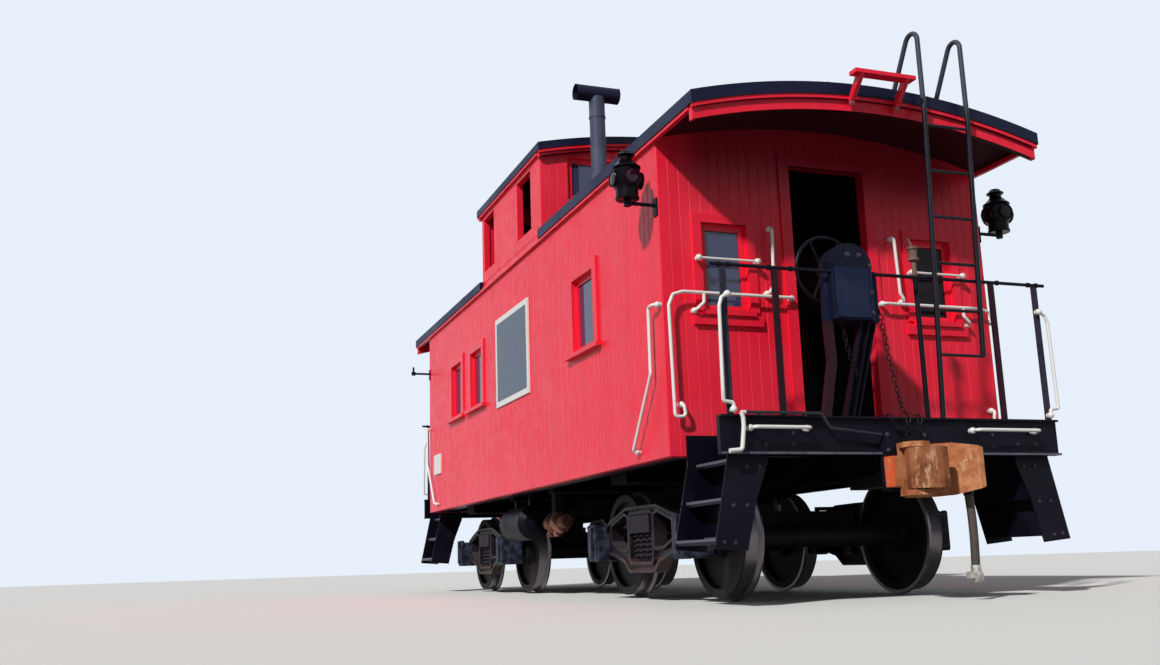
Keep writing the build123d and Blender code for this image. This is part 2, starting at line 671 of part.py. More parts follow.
def casing_on_side(low_x, high_x, low_z, high_z, side):
    """Flat boards round a side window, with a sill under it."""
    ends = sorted((side * WALL_Y, side * (WALL_Y + CASING_DEPTH)))
    board((low_x - CASING_WIDTH, high_x + CASING_WIDTH), ends, (low_z, high_z + CASING_WIDTH))
    board((low_x, high_x), ends, (low_z, high_z), mode=Mode.SUBTRACT)
    sill = sorted((side * WALL_Y, side * (WALL_Y + SILL_DEPTH)))
    reach = CASING_WIDTH + SIDE_SILL_REACH
    board((low_x - reach, high_x + reach), sill, (low_z - SILL_HEIGHT, low_z))


# Casings round the windows of the cabin, and the door casings
with BuildPart() as window_casings:
    for side in (1, -1):
        for low_x, high_x, low_z, high_z in SIDE_WINDOWS:
            ends = sorted((-side * low_x, -side * high_x))
            casing_on_side(*ends, low_z, high_z, side)
    for turn in (1, -1):
        face = sorted((turn * WALL_X, turn * (WALL_X + CASING_DEPTH)))
        sill = sorted((turn * WALL_X, turn * (WALL_X + SILL_DEPTH)))
        apron = sorted((turn * WALL_X, turn * (WALL_X + APRON_DEPTH)))
        for low_y, high_y, low_z, high_z in END_WINDOWS:
            board(face, (low_y - END_CASING, high_y + END_CASING), (low_z, high_z + END_CASING))
            board(face, (low_y, high_y), (low_z, high_z), mode=Mode.SUBTRACT)
            board(sill, (low_y - SILL_REACH, high_y + SILL_REACH), (low_z - SILL_HEIGHT, low_z))
            reach = END_CASING + SILL_REACH
            low_sill = low_z - SILL_HEIGHT
            board(apron, (low_y - reach, high_y + reach), (low_sill - APRON_HEIGHT, low_sill))
        door_casing = (-DOOR_HALF - CASING_WIDTH, DOOR_HALF + CASING_WIDTH)
        board(face, door_casing, (FLOOR_Z, DOOR_TOP_Z + CASING_WIDTH))
        board(face, (-DOOR_HALF, DOOR_HALF), (FLOOR_Z, DOOR_TOP_Z), mode=Mode.SUBTRACT)

# Sashes set back in the openings, and the glass in them
# Every glazed opening: name of its wall, low and high along the wall, low z, high z
glazed = []
for side in (1, -1):
    for low, high, low_z, high_z in SIDE_WINDOWS:
        glazed.append(("side", side, *sorted((-side * low, -side * high)), low_z, high_z))
for turn in (1, -1):
    for low, high, low_z, high_z in END_WINDOWS:
        glazed.append(("end", turn, low, high, low_z, high_z))
    for low, high, low_z, high_z in CUPOLA_END_WINDOWS:
        glazed.append(("cupola", turn, low, high, low_z, high_z))


def pane(wall, turn, low, high, low_z, high_z, back, thickness, mode=Mode.ADD):
    """A flat piece in an opening, back from the outer face of its wall."""
    faces = {"side": WALL_Y, "end": WALL_X}
    if wall == "cupola":
        outer = cupola_near if turn > 0 else -cupola_far
    else:
        outer = faces[wall]
    depth = sorted((turn * (outer - back), turn * (outer - back - thickness)))
    if wall == "side":
        board((low, high), depth, (low_z, high_z), mode=mode)
    else:
        board(depth, (low, high), (low_z, high_z), mode=mode)


SASH_BACK = 22.0
with BuildPart() as window_sashes:
    for wall, turn, low, high, low_z, high_z in glazed:
        pane(wall, turn, low, high, low_z, high_z, SASH_BACK, SASH_THICKNESS)
        inside = (low + SASH_FRAME, high - SASH_FRAME, low_z + SASH_FRAME, high_z - SASH_FRAME)
        pane(wall, turn, *inside, SASH_BACK, SASH_THICKNESS, mode=Mode.SUBTRACT)

with BuildPart() as window_glass:
    glass_back = SASH_BACK + (SASH_THICKNESS - GLASS_THICKNESS) / 2
    for wall, turn, low, high, low_z, high_z in glazed:
        inside = (low + SASH_FRAME, high - SASH_FRAME, low_z + SASH_FRAME, high_z - SASH_FRAME)
        pane(wall, turn, *inside, glass_back, GLASS_THICKNESS)

# Blank boards: a large one amidships and a small one near the end, on each side
# x from the middle as seen on the -Y side: low x, high x, low z, high z
SIGN_BOARDS = [(-475.0, 616.0, 1872.0, 2782.0), (-3320.0, -2970.0, 1428.0, 1669.0)]
SIGN_THICKNESS = 20.0
with BuildPart() as sign_boards:
    for side in (1, -1):
        for low_x, high_x, low_z, high_z in SIGN_BOARDS:
            ends = sorted((-side * low_x, -side * high_x))
            board(ends, sorted((side * WALL_Y, side * (WALL_Y + SIGN_THICKNESS))), (low_z, high_z))

# Doors: the +X one stands open inside the cabin, the other is shut
door_width = 2 * DOOR_HALF - 2 * DOOR_CLEARANCE
door_face_x = wall_inner_x + DOOR_SETBACK
with BuildPart() as shut_door:
    leaf = (door_face_x, door_face_x + DOOR_THICKNESS)
    board(leaf, (-door_width / 2, door_width / 2), (FLOOR_Z + DOOR_CLEARANCE, DOOR_TOP_Z - DOOR_CLEARANCE))
    board(
        leaf,
        (-door_width / 2 + DOOR_STILE, door_width / 2 - DOOR_STILE),
        (DOOR_GLASS_LOW_Z, DOOR_GLASS_HIGH_Z),
        mode=Mode.SUBTRACT,
    )
    for z in HINGE_Z:
        with Locations((hinge_pin_x, hinge_pin_y, z)):
            Cylinder(HINGE_BARREL, HINGE_LENGTH)
        board(
            (hinge_pin_x + HINGE_BARREL - 4, door_face_x),
            (-door_width / 2, hinge_pin_y + HINGE_PLATE),
            (z - HINGE_LENGTH / 2, z + HINGE_LENGTH / 2),
        )
        with Locations((hinge_pin_x, hinge_pin_y, z)):
            Cylinder(HINGE_PIN + RUNNING_CLEARANCE, HINGE_LENGTH, mode=Mode.SUBTRACT)

with BuildPart() as door_near:
    add(shut_door.part.rotate(Axis((hinge_pin_x, hinge_pin_y, 0), (0, 0, 1)), 90))

with BuildPart() as door_far:
    add(shut_door.part.rotate(Axis.Z, 180))

# Steps at the four corners: two raked plates, three treads, and a riser behind each tread
# Treads: height of the top face, distance of the outer edge from the centre line
TREADS = [(925.0, 1190.0), (675.0, 1280.0), (425.0, 1365.0)]
# Plate outline: distance from the centre line, z
STEP_PLATE_OUTLINE = [
    (PLATFORM_HALF, FLOOR_Z - FLOOR_THICKNESS),
    (1256.0, FLOOR_Z - FLOOR_THICKNESS),
    (1256.0, 930.0),
    (1376.0, 366.0),
    (1150.0, 346.0),
    (1075.0, 640.0),
    (PLATFORM_HALF, 890.0),
]
with BuildPart() as steps:
    for x in (STEP_FAR_X, STEP_NEAR_X - STEP_PLATE):
        with BuildSketch(Plane.YZ.offset(x)) as cheek:
            with BuildLine() as outline:
                Polyline(*STEP_PLATE_OUTLINE, close=True)
            make_face(outline.edges())
        extrude(cheek.sketch, amount=STEP_PLATE)
    tread_x = (STEP_FAR_X + STEP_PLATE, STEP_NEAR_X - STEP_PLATE)
    riser_top = FLOOR_Z
    for tread_z, outer_y in TREADS:
        inner_y = outer_y - TREAD_DEPTH
        board(tread_x, (inner_y, outer_y), (tread_z - TREAD_THICKNESS, tread_z))
        board(tread_x, (inner_y, inner_y + RISER_THICKNESS), (tread_z, riser_top))
        riser_top = tread_z - TREAD_THICKNESS
    mirror(about=Plane.XZ)
    add(steps.part.rotate(Axis.Z, 180))

# White handrails along the cabin's sides, near the corners, ending in balls on the wall
SIDE_RAIL = [
    (WALL_X - 20, -WALL_Y, 2030.0),
    (WALL_X - 20, -WALL_Y - 60, 2030.0),
    (WALL_X - 110, -WALL_Y - 60, 2030.0),
    (3490.0, -WALL_Y - 60, 1560.0),
    (3130.0, -WALL_Y - 60, 1062.0),
    (3130.0, -WALL_Y, 1062.0),
]


def rail(points, diameter=RAIL_DIAMETER, bend=RAIL_BEND, lift=SOCKET_LIFT, ends=(0, -1)):
    """A bent handrail with a socket above each mounted end."""
    bar(points, diameter, bend)
    for end in ends:
        mount = Vector(*points[end])
        along = Vector(*points[1 if end == 0 else -2]) - mount
        socket = Plane(origin=mount + along.normalized() * lift, z_dir=along)
        with Locations(socket.location):
            Cylinder(MOUNT_SOCKET / 2, SOCKET_LENGTH)


with BuildPart() as side_handrails:
    rail(SIDE_RAIL)
    mirror(about=Plane.XZ)
    add(side_handrails.part.rotate(Axis.Z, 180))

# White handrails of the ends, each a row of points: x, y, z
HAND_OUT = 70.0
WINDOW_BAR = 18.0
out_x = WALL_X + HAND_OUT
casing_x = WALL_X + CASING_DEPTH
WALL_RAILS = [
    [
        (WALL_X, -1290.0, 1332.0),
        (out_x, -1290.0, 1332.0),
        (out_x, -1274.0, 1248.0),
        (out_x, -1356.0, 1242.0),
        (out_x, -1366.0, 2010.0),
        (out_x, -1332.0, 2088.0),
        (out_x, -1255.0, 2112.0),
        (out_x, -385.0, 2112.0),
        (casing_x, -385.0, 2112.0),
    ],
    [
        (WALL_X, -520.0, 2625.0),
        (out_x, -520.0, 2625.0),
        (out_x, -536.0, 2195.0),
        (out_x, -572.0, 2140.0),
        (WALL_X, -572.0, 2140.0),
    ],
]
STAY = [
    (out_x, -1094.0, 2112.0),
    (out_x, -1094.0, 2045.0),
    (out_x, -1153.0, 1990.0),
    (WALL_X, -1153.0, 1990.0),
]
WINDOW_BAR_POINTS = [
    (casing_x, -1118.0, 2364.0),
    (out_x, -1118.0, 2364.0),
    (out_x, -655.0, 2364.0),
    (casing_x, -655.0, 2364.0),
]
post_face = POST_X + POST_THICKNESS / 2
post_rail_x = post_face + MOUNT_SOCKET / 2 + RAIL_DIAMETER / 2
POST_RAIL = [
    (post_face, 1240.0, 1952.0),
    (post_rail_x, 1240.0, 1952.0),
    (post_rail_x, 1286.0, 1926.0),
    (post_rail_x, 1304.0, 1870.0),
    (post_rail_x, 1312.0, 1262.0),
    (post_rail_x, 1242.0, 1254.0),
    (post_rail_x, 1242.0, 1212.0),
    (post_face, 1242.0, 1212.0),
]
POST_RAIL_BEND = 16.0
# Grab bars on the end sill: the two ends' y
SILL_BARS = [(-1120.0, -714.0), (581.0, 1104.0)]
SILL_BAR_Z = 1100.0
SILL_RAIL_OUT = 60.0
sill_face = END_SILL_X - END_SILL_FLANGE
sill_rail_x = END_SILL_X + SILL_RAIL_OUT
with BuildPart() as end_handrails:
    for points in WALL_RAILS:
        rail(points)
    rail(STAY, ends=(-1,))
    rail(WINDOW_BAR_POINTS, WINDOW_BAR, WINDOW_BAR, out_x - casing_x)
    rail(POST_RAIL, bend=POST_RAIL_BEND)
    mirror(about=Plane.XZ)
    for start, end in SILL_BARS:
        rail(
            [
                (sill_face, start, SILL_BAR_Z),
                (sill_rail_x, start, SILL_BAR_Z),
                (sill_rail_x, end, SILL_BAR_Z),
                (sill_face, end, SILL_BAR_Z),
            ]
        )
    add(end_handrails.part.rotate(Axis.Z, 180))

# Platform railings: flat posts on the end sill and a top bar
with BuildPart() as end_railings:
    for y in (OUTER_POST_Y, INNER_POST_Y):
        board(
            (POST_X - POST_THICKNESS / 2, POST_X + POST_THICKNESS / 2),
            (y - POST_WIDTH / 2, y + POST_WIDTH / 2),
            (FLOOR_Z, TOP_RAIL_Z),
        )
    mirror(about=Plane.XZ)
    rail_end = OUTER_POST_Y + TOP_RAIL_REACH
    for low_y, high_y in ((-rail_end, HOUSING_LOW_Y), (HOUSING_HIGH_Y, rail_end)):
        bar([(POST_X, low_y, TOP_RAIL_Z), (POST_X, high_y, TOP_RAIL_Z)], TOP_RAIL_DIAMETER)
    add(end_railings.part.rotate(Axis.Z, 180))

# Roof ladders, leaning out over the roof's edge, their stiles bent sharply back down on to it
LADDER_FOOT_X = 4232.0
LADDER_TOP_X = 4345.0
LADDER_EDGE_Z = 3300.0
LADDER_CORNER_Z = 4145.0
LADDER_RETURN_X = 3962.0
LADDER_BEND = 70.0
LADDER_LIFT = 12.0
LADDER_SHORT_Z = 1620.0
FIRST_RUNG_Z = 1930.0
RUNG_TABLE = [FIRST_RUNG_Z + RUNG_SPACING * i for i in range(5)]
with BuildPart() as ladders:
    lean = (LADDER_TOP_X - LADDER_FOOT_X) / (LADDER_EDGE_Z - FLOOR_Z)
    for y, foot_z in ((LADDER_LEFT_Y, FLOOR_Z + 1), (LADDER_RIGHT_Y, LADDER_SHORT_Z)):
        foot_x = LADDER_FOOT_X + lean * (foot_z - FLOOR_Z)
        roof_z = arch_z(roof_radius, roof_axis_z, y - LADDER_BAR / 2) + LADDER_LIFT
        bar(
            [
                (foot_x, y, foot_z),
                (LADDER_TOP_X, y, LADDER_EDGE_Z),
                (LADDER_TOP_X, y, LADDER_CORNER_Z),
                (LADDER_RETURN_X, y, roof_z),
            ],
            LADDER_BAR,
            LADDER_BEND,
        )
    for z in [LADDER_SHORT_Z] + RUNG_TABLE:
        rung_x = LADDER_FOOT_X + lean * (z - FLOOR_Z)
        bar([(rung_x, LADDER_LEFT_Y, z), (rung_x, LADDER_RIGHT_Y, z)], RUNG_DIAMETER)
    add(ladders.part.rotate(Axis.Z, 180))

# Running boards low along the roofs' centre line, and a cross plank held out beyond each end
RUNNING_HALF = 295.0
RUNNING_THICKNESS = 28.0
RUNNING_GAP = 18.0
RUNNING_END_X = 4180.0
CLEAT_HALF = 22.0
CLEAT_X = [1300.0, 2000.0, 2700.0, 3400.0, 4100.0]
PLANK_X = (4374.0, 4456.0)
PLANK_HALF = 245.0
PLANK_Z = 3524.0
BRACKET_Y = 184.0
BRACKET_HALF = 16.0
# Bracket outline from the fascia up to the plank: x, z
BRACKET_OUTLINE = [
    (ROOF_X - ROOF_EDGE_LIP, 3350.0),
    (ROOF_X - ROOF_EDGE_LIP, 3408.0),
    (PLANK_X[0], PLANK_Z),
    (PLANK_X[1] - 8, PLANK_Z),
]
with BuildPart() as running_boards:
    crown = roof_axis_z + roof_radius
    low = crown + RUNNING_GAP
    width = (-RUNNING_HALF, RUNNING_HALF)
    for start, end in ((cupola_near, RUNNING_END_X), (-RUNNING_END_X, cupola_far)):
        board((start, end), width, (low, low + RUNNING_THICKNESS))
    for turn in (1, -1):
        for x in CLEAT_X:
            board((turn * x - CLEAT_HALF, turn * x + CLEAT_HALF), width, (crown, low))
        board(
            sorted((turn * PLANK_X[0], turn * PLANK_X[1])),
            (-PLANK_HALF, PLANK_HALF),
            (PLANK_Z, PLANK_Z + RUNNING_THICKNESS),
        )
        for y in (BRACKET_Y, -BRACKET_Y):
            with BuildSketch(Plane(origin=(0, y, 0), x_dir=(1, 0, 0), z_dir=(0, -1, 0))) as bracket:
                frame_face([(turn * x, z) for x, z in BRACKET_OUTLINE])
            extrude(bracket.sketch, amount=BRACKET_HALF, both=True)

# Smoke jack: a pipe with a short cross drum on top
JACK_X = 1375.0
JACK_INSET = 500.0
JACK_RADIUS = 72.0
JACK_TOP_Z = 4570.0
JACK_DRUM = 425.0
JACK_SINK = 50.0
JACK_SLEEVE = 4.0
jack_y = JACK_INSET - roof_half
with BuildPart() as smoke_jack:
    base_z = arch_z(roof_radius, roof_axis_z, jack_y - JACK_RADIUS - JACK_SINK)
    with Locations((JACK_X, jack_y, (base_z + JACK_TOP_Z) / 2)):
        Cylinder(JACK_RADIUS, JACK_TOP_Z - base_z)
    with Locations(Location((JACK_X, jack_y, JACK_TOP_Z), (90, 0, 0))):
        Cylinder(JACK_RADIUS + JACK_SLEEVE, JACK_DRUM)
    with BuildSketch(Plane.YZ.offset(JACK_X - JACK_DRUM / 2)) as under:
        arched_face(roof_half, roof_radius, roof_axis_z, under_radius - JACK_DRUM, roof_axis_z)
    extrude(under.sketch, amount=JACK_DRUM, mode=Mode.SUBTRACT)

# Marker lamps on brackets at the +X corners, and bare brackets at the other end
LAMP_X = WALL_X - 25
LAMP_OUT = 220.0
LAMP_SEAT_Z = 2770.0
LAMP_PIN_RADIUS = 12.0
LAMP_PIN_HEIGHT = 60.0
LAMP_RADIUS = 97.0
BRACKET_COLLAR = 44.0
BRACKET_BAR = 26.0
BRACKET_PLATE = 14.0
lamp_y = WALL_Y + LAMP_OUT
bracket_z = LAMP_SEAT_Z - BRACKET_COLLAR / 2
with BuildPart() as lamp_brackets:
    bar([(LAMP_X, WALL_Y, bracket_z), (LAMP_X, lamp_y, bracket_z)], BRACKET_BAR)
    with Locations((LAMP_X, lamp_y, LAMP_SEAT_Z - BRACKET_COLLAR)):
        Cylinder(BRACKET_BAR, BRACKET_COLLAR, align=(Align.CENTER, Align.CENTER, Align.MIN))
    board(
        (LAMP_X - BRACKET_BAR, LAMP_X + BRACKET_BAR),
        (WALL_Y, WALL_Y + BRACKET_PLATE),
        (bracket_z - 3 * BRACKET_BAR, bracket_z + 2 * BRACKET_BAR),
    )
    with Locations((LAMP_X, lamp_y, LAMP_SEAT_Z)):
        Cylinder(LAMP_PIN_RADIUS, LAMP_PIN_HEIGHT, align=(Align.CENTER, Align.CENTER, Align.MIN))
    mirror(about=Plane.XZ)
    add(lamp_brackets.part.rotate(Axis.Z, 180))

# Lamp sections from the seat up: bottom radius, top radius, height
LAMP_SECTIONS = [
    (74.0, 74.0, 30.0),
    (74.0, LAMP_RADIUS, 30.0),
    (LAMP_RADIUS, LAMP_RADIUS, 175.0),
    (LAMP_RADIUS + 8, LAMP_RADIUS + 8, 12.0),
    (LAMP_RADIUS, 44.0, 50.0),
    (40.0, 40.0, 34.0),
    (56.0, 50.0, 34.0),
]
LENS_Z = 148.0
LENS_RADIUS = 54.0
LENS_OUT = 112.0
with BuildPart() as marker_lamps:
    section_z = LAMP_SEAT_Z
    for low_radius, high_radius, height in LAMP_SECTIONS:
        with Locations((LAMP_X, lamp_y, section_z)):
            if low_radius == high_radius:
                Cylinder(low_radius, height, align=(Align.CENTER, Align.CENTER, Align.MIN))
            else:
                Cone(low_radius, high_radius, height, align=(Align.CENTER, Align.CENTER, Align.MIN))
        section_z += height
    for turn_y, turn_z in ((90, 0), (90, 90)):
        with Locations(Location((LAMP_X, lamp_y, LAMP_SEAT_Z + LENS_Z), (turn_y, 0, turn_z))):
            Cylinder(LENS_RADIUS, 2 * LENS_OUT)
    with Locations((LAMP_X, lamp_y, LAMP_SEAT_Z)):
        Cylinder(
            LAMP_PIN_RADIUS + RUNNING_CLEARANCE,
            LAMP_PIN_HEIGHT + 2,
            align=(Align.CENTER, Align.CENTER, Align.MIN),
            mode=Mode.SUBTRACT,
        )
    mirror(about=Plane.XZ)

# Couplers: shank, head, guard arm and lock chamber, with the knuckle on its own pin
# Head outline in plan, from the shank round by the guard arm: x, y
HEAD_OUTLINE = [
    (4330.0, 66.0),
    (4420.0, 128.0),
    (4560.0, 206.0),
    (4700.0, 268.0),
    (4746.0, 244.0),
    (4742.0, 214.0),
    (4640.0, 148.0),
    (4566.0, 104.0),
    (4526.0, 40.0),
    (4526.0, -104.0),
    (4440.0, -120.0),
    (4330.0, -66.0),
]
# Lock chamber on the knuckle's side, lower than the head: x, y
CHAMBER_OUTLINE = [(4390.0, -80.0), (4526.0, -80.0), (4526.0, -268.0), (4440.0, -276.0), (4392.0, -200.0)]
CHAMBER_Z = (712.0, 902.0)
# Lugs over and under the knuckle, round its pin: x, y
LUG_OUTLINE = [
    (4500.0, -60.0),
    (4606.0, -66.0),
    (4668.0, -92.0),
    (4694.0, -158.0),
    (4662.0, -222.0),
    (4600.0, -244.0),
    (4500.0, -216.0),
]
# Knuckle outline in plan, round its hub and out to the nose: x, y
KNUCKLE_OUTLINE = [
    (4556.0, -112.0),
    (4556.0, -44.0),
    (4640.0, -40.0),
    (4664.0, -10.0),
    (4704.0, 6.0),
    (4738.0, -16.0),
    (4752.0, -70.0),
    (4746.0, -130.0),
    (4718.0, -196.0),
    (4650.0, -238.0),
    (4570.0, -214.0),
]
KNUCKLE_PIN = (4606.0, -158.0)
# Room that the knuckle's tail sweeps behind its pin as it opens
KNUCKLE_SWEEP = 76.0
POCKET_FRONT_X = 4770.0
POCKET_Y = (-330.0, -30.0)
GUARD_SLOPE_Y = 120.0
GUARD_EDGE_Y = 300.0
GUARD_SLOPE = 62.0


def plan_of(points, low_z, high_z, mode=Mode.ADD):
    """A block between two heights from its outline in plan."""
    with BuildSketch(Plane.XY.offset(low_z)) as plan:
        frame_face(points)
    extrude(plan.sketch, amount=high_z - low_z, mode=mode)


head_low = COUPLER_Z - HEAD_HALF_HEIGHT
head_high = COUPLER_Z + HEAD_HALF_HEIGHT
with BuildPart() as couplers:
    board(
        (SHANK_BACK_X, HEAD_OUTLINE[0][0] + SHANK_CLEARANCE),
        (-SHANK_HALF, SHANK_HALF),
        (COUPLER_Z - SHANK_HEIGHT / 2, COUPLER_Z + SHANK_HEIGHT / 2),
    )
    plan_of(HEAD_OUTLINE, head_low, head_high)
    plan_of(CHAMBER_OUTLINE, *CHAMBER_Z)
    pocket_half = KNUCKLE_HALF_HEIGHT + KNUCKLE_CLEARANCE
    plan_of(LUG_OUTLINE, head_low, head_high)
    board(
        (KNUCKLE_PIN[0] - KNUCKLE_SWEEP, POCKET_FRONT_X),
        POCKET_Y,
        (COUPLER_Z - pocket_half, COUPLER_Z + pocket_half),
        mode=Mode.SUBTRACT,
    )
    with Locations((*KNUCKLE_PIN, COUPLER_Z)):
        Cylinder(KNUCKLE_PIN_RADIUS, 2 * pocket_half)
    for edge_z, turn in ((head_high, 1), (head_low, -1)):
        with BuildSketch(Plane.YZ.offset(HEAD_OUTLINE[0][0])) as slope:
            frame_face(
                [
                    (GUARD_SLOPE_Y, edge_z + turn),
                    (GUARD_EDGE_Y, edge_z + turn),
                    (GUARD_EDGE_Y, edge_z - turn * GUARD_SLOPE),
                ]
            )
        extrude(slope.sketch, amount=POCKET_FRONT_X - HEAD_OUTLINE[0][0], mode=Mode.SUBTRACT)
    add(couplers.part.rotate(Axis.Z, 180))


def knuckle(turn):
    """The swinging jaw of the coupler at one end."""
    outline = [(turn * x, turn * y) for x, y in KNUCKLE_OUTLINE]
    plan_of(outline, COUPLER_Z - KNUCKLE_HALF_HEIGHT, COUPLER_Z + KNUCKLE_HALF_HEIGHT)
    with Locations((turn * KNUCKLE_PIN[0], turn * KNUCKLE_PIN[1], COUPLER_Z)):
        Cylinder(KNUCKLE_PIN_RADIUS + RUNNING_CLEARANCE, 2 * KNUCKLE_HALF_HEIGHT, mode=Mode.SUBTRACT)


with BuildPart() as knuckle_near:
    knuckle(1)

with BuildPart() as knuckle_far:
    knuckle(-1)

# Hand brakes: an arched housing on a bent strap and a channel leg, the wheel behind it
BRAKE_Y = -283.0
BRAKE_Z = 2245.0
HOUSING_X = 4267.0
HOUSING_DEPTH = 150.0
HOUSING_Z = (1833.0, 2237.0)
HOUSING_ARCH = 123.0
COVER_INSET = 12.0
COVER_OUT = 14.0
COVER_HIGH_Y = -160.0
GUIDE_Y = (-125.0, -42.0)
GUIDE_Z = (1840.0, 2190.0)
GUIDE_DEPTH = 80.0
BRAKE_WHEEL_X = 3967.0
BRAKE_WHEEL_RADIUS = 250.0
WHEEL_RIM_RADIUS = 13.0
RIM_SIDES = 12
WHEEL_DISH = 42.0
WHEEL_HUB = 44.0
SHAFT_RADIUS = 22.0
SPOKES = 6
SPOKE_RADIUS = 9.0
SPOKE_START = 34.0
LEG_X = HOUSING_X - 100
STRAP_WIDTH = 58.0
STRAP_DEPTH = 44.0
# Strap's outer edge from the housing down to the deck: y, z
STRAP = [(-468.0, 2237.0), (-480.0, 1833.0), (-470.0, 1552.0), (-545.0, FLOOR_Z)]
# Channel leg: y at the top of its edges, y at the foot
CHANNEL_LIPS = [(-192.0, -372.0), (-132.0, -312.0), (-80.0, -276.0)]
CHANNEL_WEB = 12.0
CHANNEL_LIP = 9.0
CHANNEL_DEPTH = 46.0


def on_end(x, depth, points):
    """A plate across the car from its outline in y and z."""
    with BuildSketch(Plane.YZ.offset(x)) as plate:
        frame_face(points)
    extrude(plate.sketch, amount=depth)


with BuildPart() as brake_stands:
    low_z, high_z = HOUSING_Z
    middle_y = (HOUSING_LOW_Y + HOUSING_HIGH_Y) / 2
    with BuildSketch(Plane.YZ.offset(HOUSING_X - HOUSING_DEPTH)) as housing:
        with BuildLine() as outline:
            ThreePointArc(
                (HOUSING_LOW_Y, high_z),
                (middle_y, high_z + HOUSING_ARCH),
                (HOUSING_HIGH_Y, high_z),
            )
            Polyline(
                (HOUSING_HIGH_Y, high_z),
                (HOUSING_HIGH_Y, low_z),
                (HOUSING_LOW_Y, low_z),
                (HOUSING_LOW_Y, high_z),
            )
        make_face(outline.edges())
    extrude(housing.sketch, amount=HOUSING_DEPTH)
    cover = (HOUSING_LOW_Y + COVER_INSET, COVER_HIGH_Y)
    board((HOUSING_X, HOUSING_X + COVER_OUT), cover, (low_z + COVER_INSET, high_z - COVER_INSET))
    board((HOUSING_X - HOUSING_DEPTH, HOUSING_X - HOUSING_DEPTH + GUIDE_DEPTH), GUIDE_Y, GUIDE_Z)
    inner_edge = [(y + STRAP_WIDTH, z) for y, z in reversed(STRAP)]
    on_end(LEG_X, STRAP_DEPTH, STRAP + inner_edge)
    (left_top, left_foot), (_, _), (right_top, right_foot) = CHANNEL_LIPS
    web = [(left_top, low_z), (right_top, low_z), (right_foot, FLOOR_Z), (left_foot, FLOOR_Z)]
    on_end(LEG_X, CHANNEL_WEB, web)
    for top, foot in CHANNEL_LIPS:
        lip = [(top, low_z), (top - CHANNEL_LIP, low_z), (foot - CHANNEL_LIP, FLOOR_Z), (foot, FLOOR_Z)]
        on_end(LEG_X, CHANNEL_DEPTH, lip)
    shaft_end = BRAKE_WHEEL_X - WHEEL_DISH
    shaft_length = HOUSING_X - HOUSING_DEPTH - shaft_end
    with Locations(Location((shaft_end + shaft_length / 2, BRAKE_Y, BRAKE_Z), (0, 90, 0))):
        Cylinder(SHAFT_RADIUS, shaft_length)
    add(brake_stands.part.rotate(Axis.Z, 180))


def brake_wheel(turn):
    """Spoked hand wheel on the brake's shaft, dished towards the deck."""
    rim = Plane(
        origin=(turn * BRAKE_WHEEL_X, turn * BRAKE_Y, BRAKE_Z),
        x_dir=(0, turn, 0),
        z_dir=(turn, 0, 0),
    )
    reach = BRAKE_WHEEL_RADIUS - WHEEL_RIM_RADIUS
    across = Plane(origin=rim.origin, x_dir=rim.x_dir, z_dir=(0, 0, -1))
    with BuildSketch(across) as section:
        with Locations((reach, 0)):
            RegularPolygon(WHEEL_RIM_RADIUS, RIM_SIDES)
    revolve(profiles=section.sketch, axis=Axis(rim.origin, rim.z_dir))
    with Locations(rim.location):
        with Locations((0, 0, -WHEEL_DISH)):
            Cylinder(WHEEL_HUB, WHEEL_HUB)
        for angle in range(0, 360, 360 // SPOKES):
            spoke = Rot(0, 0, angle) * Pos(0, 0, -WHEEL_DISH) * Rot(0, spoke_tilt, 0) * Pos(0, 0, SPOKE_START)
            with Locations(spoke):
                length = spoke_length - SPOKE_START
                Cylinder(SPOKE_RADIUS, length, align=(Align.CENTER, Align.CENTER, Align.MIN))
        with Locations((0, 0, -WHEEL_DISH)):
            Cylinder(SHAFT_RADIUS + RUNNING_CLEARANCE, 2 * WHEEL_HUB, mode=Mode.SUBTRACT)


spoke_reach = BRAKE_WHEEL_RADIUS - WHEEL_RIM_RADIUS
spoke_length = sqrt(spoke_reach**2 + WHEEL_DISH**2)
spoke_tilt = 90 - degrees(atan2(WHEEL_DISH, spoke_reach))

with BuildPart() as brake_wheel_near:
    brake_wheel(1)

with BuildPart() as brake_wheel_far:
    brake_wheel(-1)

# Signal valves: an upright pipe by the ladder, a valve body and its lever
SIGNAL_X = 4170.0
SIGNAL_Y = 300.0
SIGNAL_TOP_Z = 2300.0
SIGNAL_PIPE = 34.0
VALVE_HEIGHT = 96.0
VALVE_RADIUS = 30.0
VALVE_COLLAR = 16.0
VALVE_LEVER = [(SIGNAL_X, SIGNAL_Y, 2385.0), (SIGNAL_X, SIGNAL_Y - 30, 2455.0)]
with BuildPart() as signal_pipes:
    bar([(SIGNAL_X, SIGNAL_Y, FLOOR_Z), (SIGNAL_X, SIGNAL_Y, SIGNAL_TOP_Z)], SIGNAL_PIPE)
    with Locations((SIGNAL_X, SIGNAL_Y, SIGNAL_TOP_Z)):
        Cylinder(VALVE_RADIUS, VALVE_HEIGHT, align=(Align.CENTER, Align.CENTER, Align.MIN))
    for z in (SIGNAL_TOP_Z, SIGNAL_TOP_Z + VALVE_HEIGHT - VALVE_COLLAR):
        with Locations((SIGNAL_X, SIGNAL_Y, z)):
            collar = VALVE_RADIUS + VALVE_COLLAR / 2
            Cylinder(collar, VALVE_COLLAR, align=(Align.CENTER, Align.CENTER, Align.MIN))
    bar(VALVE_LEVER, SIGNAL_PIPE / 2)
    add(signal_pipes.part.rotate(Axis.Z, 180))

